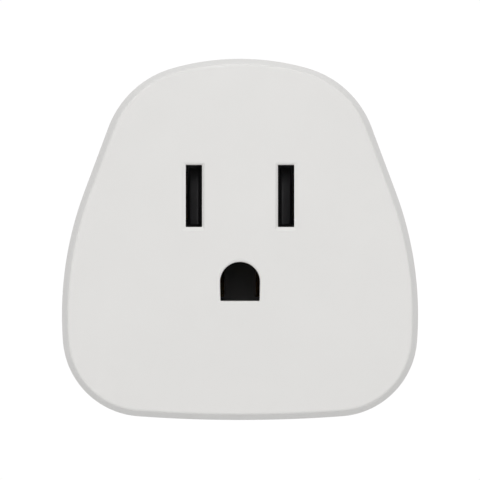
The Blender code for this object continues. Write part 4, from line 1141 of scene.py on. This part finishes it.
def solder_joints(tin):
    """The solder round the tails and leads on the board's back."""
    mesh = bmesh.new()
    for name, x, z in (
        ("line_contact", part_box("line_contact")[1].x - 0.00025, middle("line_contact").z),
        ("neutral_contact", middle("neutral_contact").x + 0.00165, middle("neutral_contact").z),
        ("ground_contact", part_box("ground_contact")[1].x - 0.00025, GROUND_Z),
    ):
        solder_cone((x, z), 0.0005, 0.0036, mesh)
    fixed_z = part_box("relay_fixed_contact")[0].z + 0.00025
    solder_cone((middle("relay_fixed_contact").x, fixed_z), 0.0030, 0.0005, mesh)
    solder_cone(spot_of("relay_common_terminal"), 0.0030, 0.0005, mesh)
    for name in (*CAPACITORS, "noise_capacitor", "varistor", "fuse_resistor"):
        for spot in lead_spots(name):
            solder_cone(spot, 0.0006, 0.0006, mesh)
    piece("solder_joints", mesh, tin, angle=50)


def tracks(lacquered_copper):
    """The copper on the board's back: wide runs for the mains and a fan of thin ones from each chip."""
    near, far = depth_y(BOARD_BACK) - 0.00002, depth_y(BOARD_BACK) + 0.00004
    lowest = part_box("power_board")[0].z + 0.0012
    slant = 0.0009
    mesh = bmesh.new()
    for name, leads in CHIP_LEADS.items():
        low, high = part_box(name)
        pitch = (high.x - low.x) / leads
        for i in range(leads):
            x = low.x + pitch * (i + 0.5)
            lean = i - (leads - 1) / 2
            straight = 0.0003 + 0.00025 * abs(lean)
            aside = x + math.copysign(slant, lean)
            for edge, out in ((low.z, -1), (high.z, 1)):
                turn, end = edge + out * straight, edge + out * (straight + slant)
                if end < lowest:
                    continue
                path = [(x, edge - out * 0.0006), (x, turn), (aside, end), (aside, end + out * 0.0003)]
                prism("Y", strip(path, 0.00022), near, far, mesh)
                turned("Y", path[-1], ((0.0003, near), (0.0003, far)), 16, mesh)
    for start, end, width in (
        ("line_blade", "current_shunt", 0.0030),
        ("current_shunt", "relay_common_terminal", 0.0026),
        ("neutral_blade", "varistor", 0.0022),
        ("neutral_blade", "noise_capacitor", 0.0016),
        ("bulk_capacitor_1", "bulk_capacitor_2", 0.0016),
        ("bridge_rectifier", "supply_chip", 0.0012),
    ):
        (x0, z0), (x1, z1) = spot_of(start), spot_of(end)
        reach = min(abs(x1 - x0), abs(z1 - z0))
        corner = (x1 - math.copysign(reach, x1 - x0), z1 - math.copysign(reach, z1 - z0))
        path = [(x0, z0), corner, (x1, z1)]
        path = [p for i, p in enumerate(path) if i == 0 or math.dist(p, path[i - 1]) > width / 2]
        prism("Y", strip(path, width), near, far, mesh)
    piece("power_board_tracks", mesh, lacquered_copper, angle=40)


def shield_can(metal):
    """The radio's shield: a drawn can with rounded edges and rows of vent dimples."""
    low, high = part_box("radio_shield")
    x, z = (low.x + high.x) / 2, (low.z + high.z) / 2
    width, height = high.x - low.x, high.z - low.z

    def outline(inset):
        return rounded_rectangle((x, z), width - 2 * inset, height - 2 * inset, 0.0004 - inset / 2, 4)

    stations = [(0.0, low.y)]
    stations += [(inset, high.y - down) for inset, down in reversed(rolled_edge(0.0003, 4))]
    dimple = ((0.0003, high.y - 0.00015), (0.0003, high.y + 0.0001))
    spots = [(x + i * 0.0016, z + j * 0.0022) for i in (-1, 0, 1) for j in (-1.5, -0.5, 0.5, 1.5)]
    mesh = cut(stacked("Y", outline, stations), *[turned("Y", spot, dimple, 20) for spot in spots])
    piece("radio_shield_can", mesh, metal, "radio_shield")


def radio_module(board, shield_metal, gold, header_plastic):
    """The radio board with its shield can, printed aerial and pin header."""
    softened("radio_board", 0.00005, board, 1)
    softened("pin_header", 0.0002, header_plastic, 1)
    shield_can(shield_metal)
    low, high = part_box("radio_board")
    ends = (low.x + 0.0009, high.x - 0.0009)
    path = []
    for i in range(6):
        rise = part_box("radio_shield")[1].z + 0.0008 + i * 0.0007
        path += [(end, rise) for end in (ends if i % 2 == 0 else ends[::-1])]
    aerial = prism("Y", strip(path, 0.00028), high.y - 0.00001, high.y + 0.00004)
    piece("radio_aerial", aerial, gold, angle=40)
    header_pins(high.y, gold)


def header_pins(board_y, gold):
    """The header's five pins, pointed at both ends, from the power board to behind the radio board."""
    x, z = spot_of("pin_header")
    pitch, thick, point = 0.0015, 0.0005, 0.0002

    def outline(i, taper):
        return rounded_rectangle((x + i * pitch, z), thick - taper, thick - taper, 0.00005, 1)

    stations = (
        (point, depth_y(BOARD_DEPTH - 0.0004)),
        (0.0, depth_y(BOARD_DEPTH - 0.0002)),
        (0.0, board_y + 0.0005),
        (point, board_y + 0.0007),
    )
    mesh = bmesh.new()
    for i in (-2, -1, 0, 1, 2):
        stacked("Y", partial(outline, i), stations, mesh)
    piece("header_pins", mesh, gold, angle=40)


def switch_and_led(black, steel, plunger_plastic, clear):
    """The switch behind the side button, with its plunger and face plate, and the status light."""
    softened("tact_switch_body", 0.0002, black)
    softened("status_led", 0.0001, clear)
    low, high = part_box("tact_switch_plunger")
    centre = (middle("tact_switch_plunger").y, middle("tact_switch_plunger").z)
    radius = (high.y - low.y) / 2
    profile = [(radius - 0.0001, low.x), (radius, low.x + 0.0001)]
    profile += [(radius - inset, high.x - down) for inset, down in reversed(rolled_edge(0.0003, 6))]
    tip = turned("X", centre, profile, 40)
    piece("tact_switch_tip", tip, plunger_plastic, "tact_switch_plunger", body="button")
    low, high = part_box("tact_switch_body")
    inset, face = 0.0004, high.x
    y, z = (low.y + inset, high.y - inset), (low.z + inset, high.z - inset)
    plate = bevelled(block((face, face + 0.0002), y, z), 0.00006)
    hole = turned("X", centre, ((0.0014, face - 0.001), (0.0014, face + 0.001)), 40)
    piece("tact_switch_plate", cut(plate, hole), steel, angle=40)


# ---------------------------------------------------------------- the whole object


def build_object():
    shell_white = moulded("shell_white_plastic", (0.745, 0.737, 0.722), 0.44, IOR=1.5)
    button_white = moulded("button_white_plastic", (0.73, 0.722, 0.705), 0.3, grain_depth=0.000002)
    black_nylon = moulded("black_nylon_plastic", (0.04, 0.039, 0.041), 0.5, mottle=0.12)
    carrier_black = moulded("carrier_plastic", (0.10, 0.099, 0.101), 0.5, mottle=0.1)
    # Black plastic for the shutters, darker than the other black nylon and with a weaker reflection: its
    # colour also paints the shade deep inside the slots.
    shutter_black_and_painted_shade = moulded(
        "shutter_plastic_and_painted_shade", (0.013, 0.0125, 0.0138), 0.5, mottle=0.25, Specular_IOR_Level=0.3
    )
    holder_nylon = moulded("holder_nylon_plastic", (0.62, 0.61, 0.58), 0.5, mottle=0.05)
    relay_black = moulded("relay_cover_plastic", (0.022, 0.022, 0.026), 0.28, mottle=0.1)
    bobbin_plastic = moulded("bobbin_plastic_amber", (0.42, 0.34, 0.20), 0.42, mottle=0.1)
    film_yellow = moulded("film_capacitor_yellow", (0.66, 0.50, 0.07), 0.3, grain=0.0012, mottle=0.05)
    varistor_blue = moulded("varistor_coating", (0.02, 0.11, 0.36), 0.3, grain=0.0009, grain_depth=0.00002)
    chip_epoxy = moulded("chip_epoxy", (0.028, 0.028, 0.029), 0.6, grain=0.00012, mottle=0.15)
    sleeve_black = moulded("capacitor_sleeve", (0.022, 0.024, 0.04), 0.28, grain=0.002, mottle=0.1)
    rubber = moulded("capacitor_rubber", (0.03, 0.03, 0.03), 0.75, mottle=0.15)
    ferrite = moulded("ferrite_drum", (0.045, 0.043, 0.045), 0.5, 0.0002, 0.00001, 0.2)
    first_band = middle("fuse_resistor").z - 0.0015
    resistor_green = banded("resistor_paint", (0.16, 0.30, 0.22), RESISTOR_BANDS, first_band, 0.0010)
    nickel = worked_metal("nickel_plating", (0.70, 0.67, 0.62), 0.24, (1, 0.08, 1))
    steel = worked_metal("zinc_plating", (0.58, 0.58, 0.60), 0.30)
    iron = worked_metal("relay_iron_plate", (0.50, 0.49, 0.48), 0.36, (1, 1, 0.15))
    spring_steel = worked_metal("spring_wire", (0.50, 0.50, 0.51), 0.28)
    brass = worked_metal("rolled_brass", (0.74, 0.53, 0.25), 0.32, (1, 0.1, 1))
    copper = worked_metal("enamelled_copper", (0.66, 0.27, 0.11), 0.26, grain=0.0004)
    alloy = worked_metal("shunt_alloy", (0.60, 0.42, 0.32), 0.34, (0.1, 1, 1))
    can = worked_metal("can_aluminium_sheet", (0.72, 0.73, 0.74), 0.28)
    tin = worked_metal("tinned_metal", (0.70, 0.70, 0.69), 0.30, grain=0.0006, grain_depth=0.000006)
    gold = worked_metal("gold_flash", (0.83, 0.62, 0.25), 0.25)
    clear = clear_plastic("clear_plastic_rod")
    board_green = solder_mask("power_board_mask", (0.010, 0.095, 0.038))
    track_green = solder_mask("power_board_tracks", (0.022, 0.19, 0.075))
    radio_blue = solder_mask("radio_board_mask", (0.010, 0.030, 0.12))

    front_cover(shell_white)
    rear_housing(shell_white)
    blade("line_blade", nickel)
    blade("neutral_blade", nickel)
    ground_pin(nickel)
    for i in (1, 2, 3):
        screw(f"case_screw_{i}", CASE_SCREW, 1, steel)
    for i in (1, 2):
        screw(f"board_screw_{i}", BOARD_SCREW, -1, steel)
    power_button(button_white)
    light_pipe(clear)
    softened("blade_holder", 0.0003, holder_nylon)
    softened("shutter_guide", 0.00012, black_nylon)
    softened("contact_carrier", 0.0002, carrier_black)
    shutter("left_shutter", -1, shutter_black_and_painted_shade)
    shutter("right_shutter", 1, shutter_black_and_painted_shade)
    shutter_spring("left_shutter_spring", -1, spring_steel)
    shutter_spring("right_shutter_spring", 1, spring_steel)
    for name in ("line_contact", "neutral_contact", "ground_contact"):
        softened(name, 0.00008, brass)
    relay(relay_black, bobbin_plastic, iron, copper, brass)

    softened("power_board", 0.00008, board_green, 1)
    for name in CAPACITORS:
        can_capacitor(name, sleeve_black, can, rubber, tin)
    softened("noise_capacitor", 0.0002, film_yellow)
    straight_leads("noise_capacitor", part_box("noise_capacitor")[1].y - 0.0002, 0.0003, tin)
    varistor(varistor_blue, tin)
    choke(ferrite, copper)
    fuse_resistor(resistor_green, tin)
    softened("current_shunt", 0.0001, alloy)
    for name, leads in CHIP_LEADS.items():
        chip(name, leads, chip_epoxy, tin)
    tracks(track_green)
    solder_joints(tin)
    radio_module(radio_blue, can, gold, relay_black)
    switch_and_led(relay_black, steel, black_nylon, clear)


# ---------------------------------------------------------------- studio


def floor_paint_and_glow():
    """Pale paint with a painted glow that grows towards the floor's edge, so that it fades to the
    backdrop's white far from the object.
    """
    material, shader, where = start_material("floor_paint_and_glow", Roughness=0.7)
    colours = clouded(material, noise(material, where, 0.6, 2.0), FLOOR_COLOUR, 0.01)
    link(material, colours, shader.inputs["Base Color"])
    spread = node(material, "Mapping", Vector=where, Scale=(1 / FLOOR_RADIUS,) * 3)
    nearness = node(material, "TexGradient", Vector=spread.outputs["Vector"])
    nearness.gradient_type = "SPHERICAL"
    near = nearness.outputs["Fac"]
    # Painted glow: the floor's emission grows from nothing near the object to FLOOR_GLOW at its edge.
    fade = node(material, "MapRange", Value=near, From_Min=0.8, From_Max=0.1, To_Max=FLOOR_GLOW)
    shader.inputs["Emission Color"].default_value = (1.0, 1.0, 1.0, 1.0)
    link(material, fade.outputs["Result"], shader.inputs["Emission Strength"])
    return material


def studio():
    """A pale floor, a white dome that only the camera sees, and soft lights."""
    disc = bmesh.new()
    bmesh.ops.create_circle(disc, cap_ends=True, radius=FLOOR_RADIUS, segments=96)
    floor = object_from("floor", disc)
    floor.location.z = -FLOOR_DROP
    floor.data.materials.append(floor_paint_and_glow())

    ball = bmesh.new()
    bmesh.ops.create_uvsphere(ball, u_segments=64, v_segments=32, radius=DOME_RADIUS)
    dome = object_from("backdrop", ball)
    paint = bpy.data.materials.new("backdrop_paint")
    paint.use_nodes = True
    paint.node_tree.nodes.clear()
    glow = node(paint, "Emission", Strength=DOME_STRENGTH)
    node(paint, "OutputMaterial", Surface=glow.outputs["Emission"])
    dome.data.materials.append(paint)
    dome.visible_diffuse = False
    dome.visible_glossy = False
    dome.visible_transmission = False
    dome.visible_shadow = False

    world = bpy.data.worlds.new("studio_air")
    bpy.context.scene.world = world
    world.use_nodes = True
    background = world.node_tree.nodes["Background"]
    background.inputs["Color"].default_value = (1.0, 1.0, 1.0, 1.0)
    background.inputs["Strength"].default_value = WORLD_STRENGTH

    for name, place, size, power in LIGHTS:
        lamp = bpy.data.lights.new(name, "AREA")
        lamp.shape = "DISK"
        lamp.size = size
        lamp.energy = power
        light = placed(name, lamp)
        light.location = place
        light.visible_camera = False
        light.rotation_mode = "QUATERNION"
        light.rotation_quaternion = (-Vector(place)).to_track_quat("-Z", "Y")

    lens = bpy.data.cameras.new("camera")
    lens.sensor_width = SENSOR_WIDTH
    lens.lens = SENSOR_WIDTH * CAMERA_DISTANCE / VIEW_WIDTH
    lens.clip_start = 0.05
    lens.clip_end = 20.0
    camera = placed("camera", lens)
    camera.location = (0.0, FACE_Y - CAMERA_DISTANCE, CAMERA_Z)
    camera.rotation_euler = (math.radians(90), 0.0, 0.0)
    bpy.context.scene.camera = camera
    bpy.context.scene.view_settings.view_transform = "Standard"


build_object()
studio()
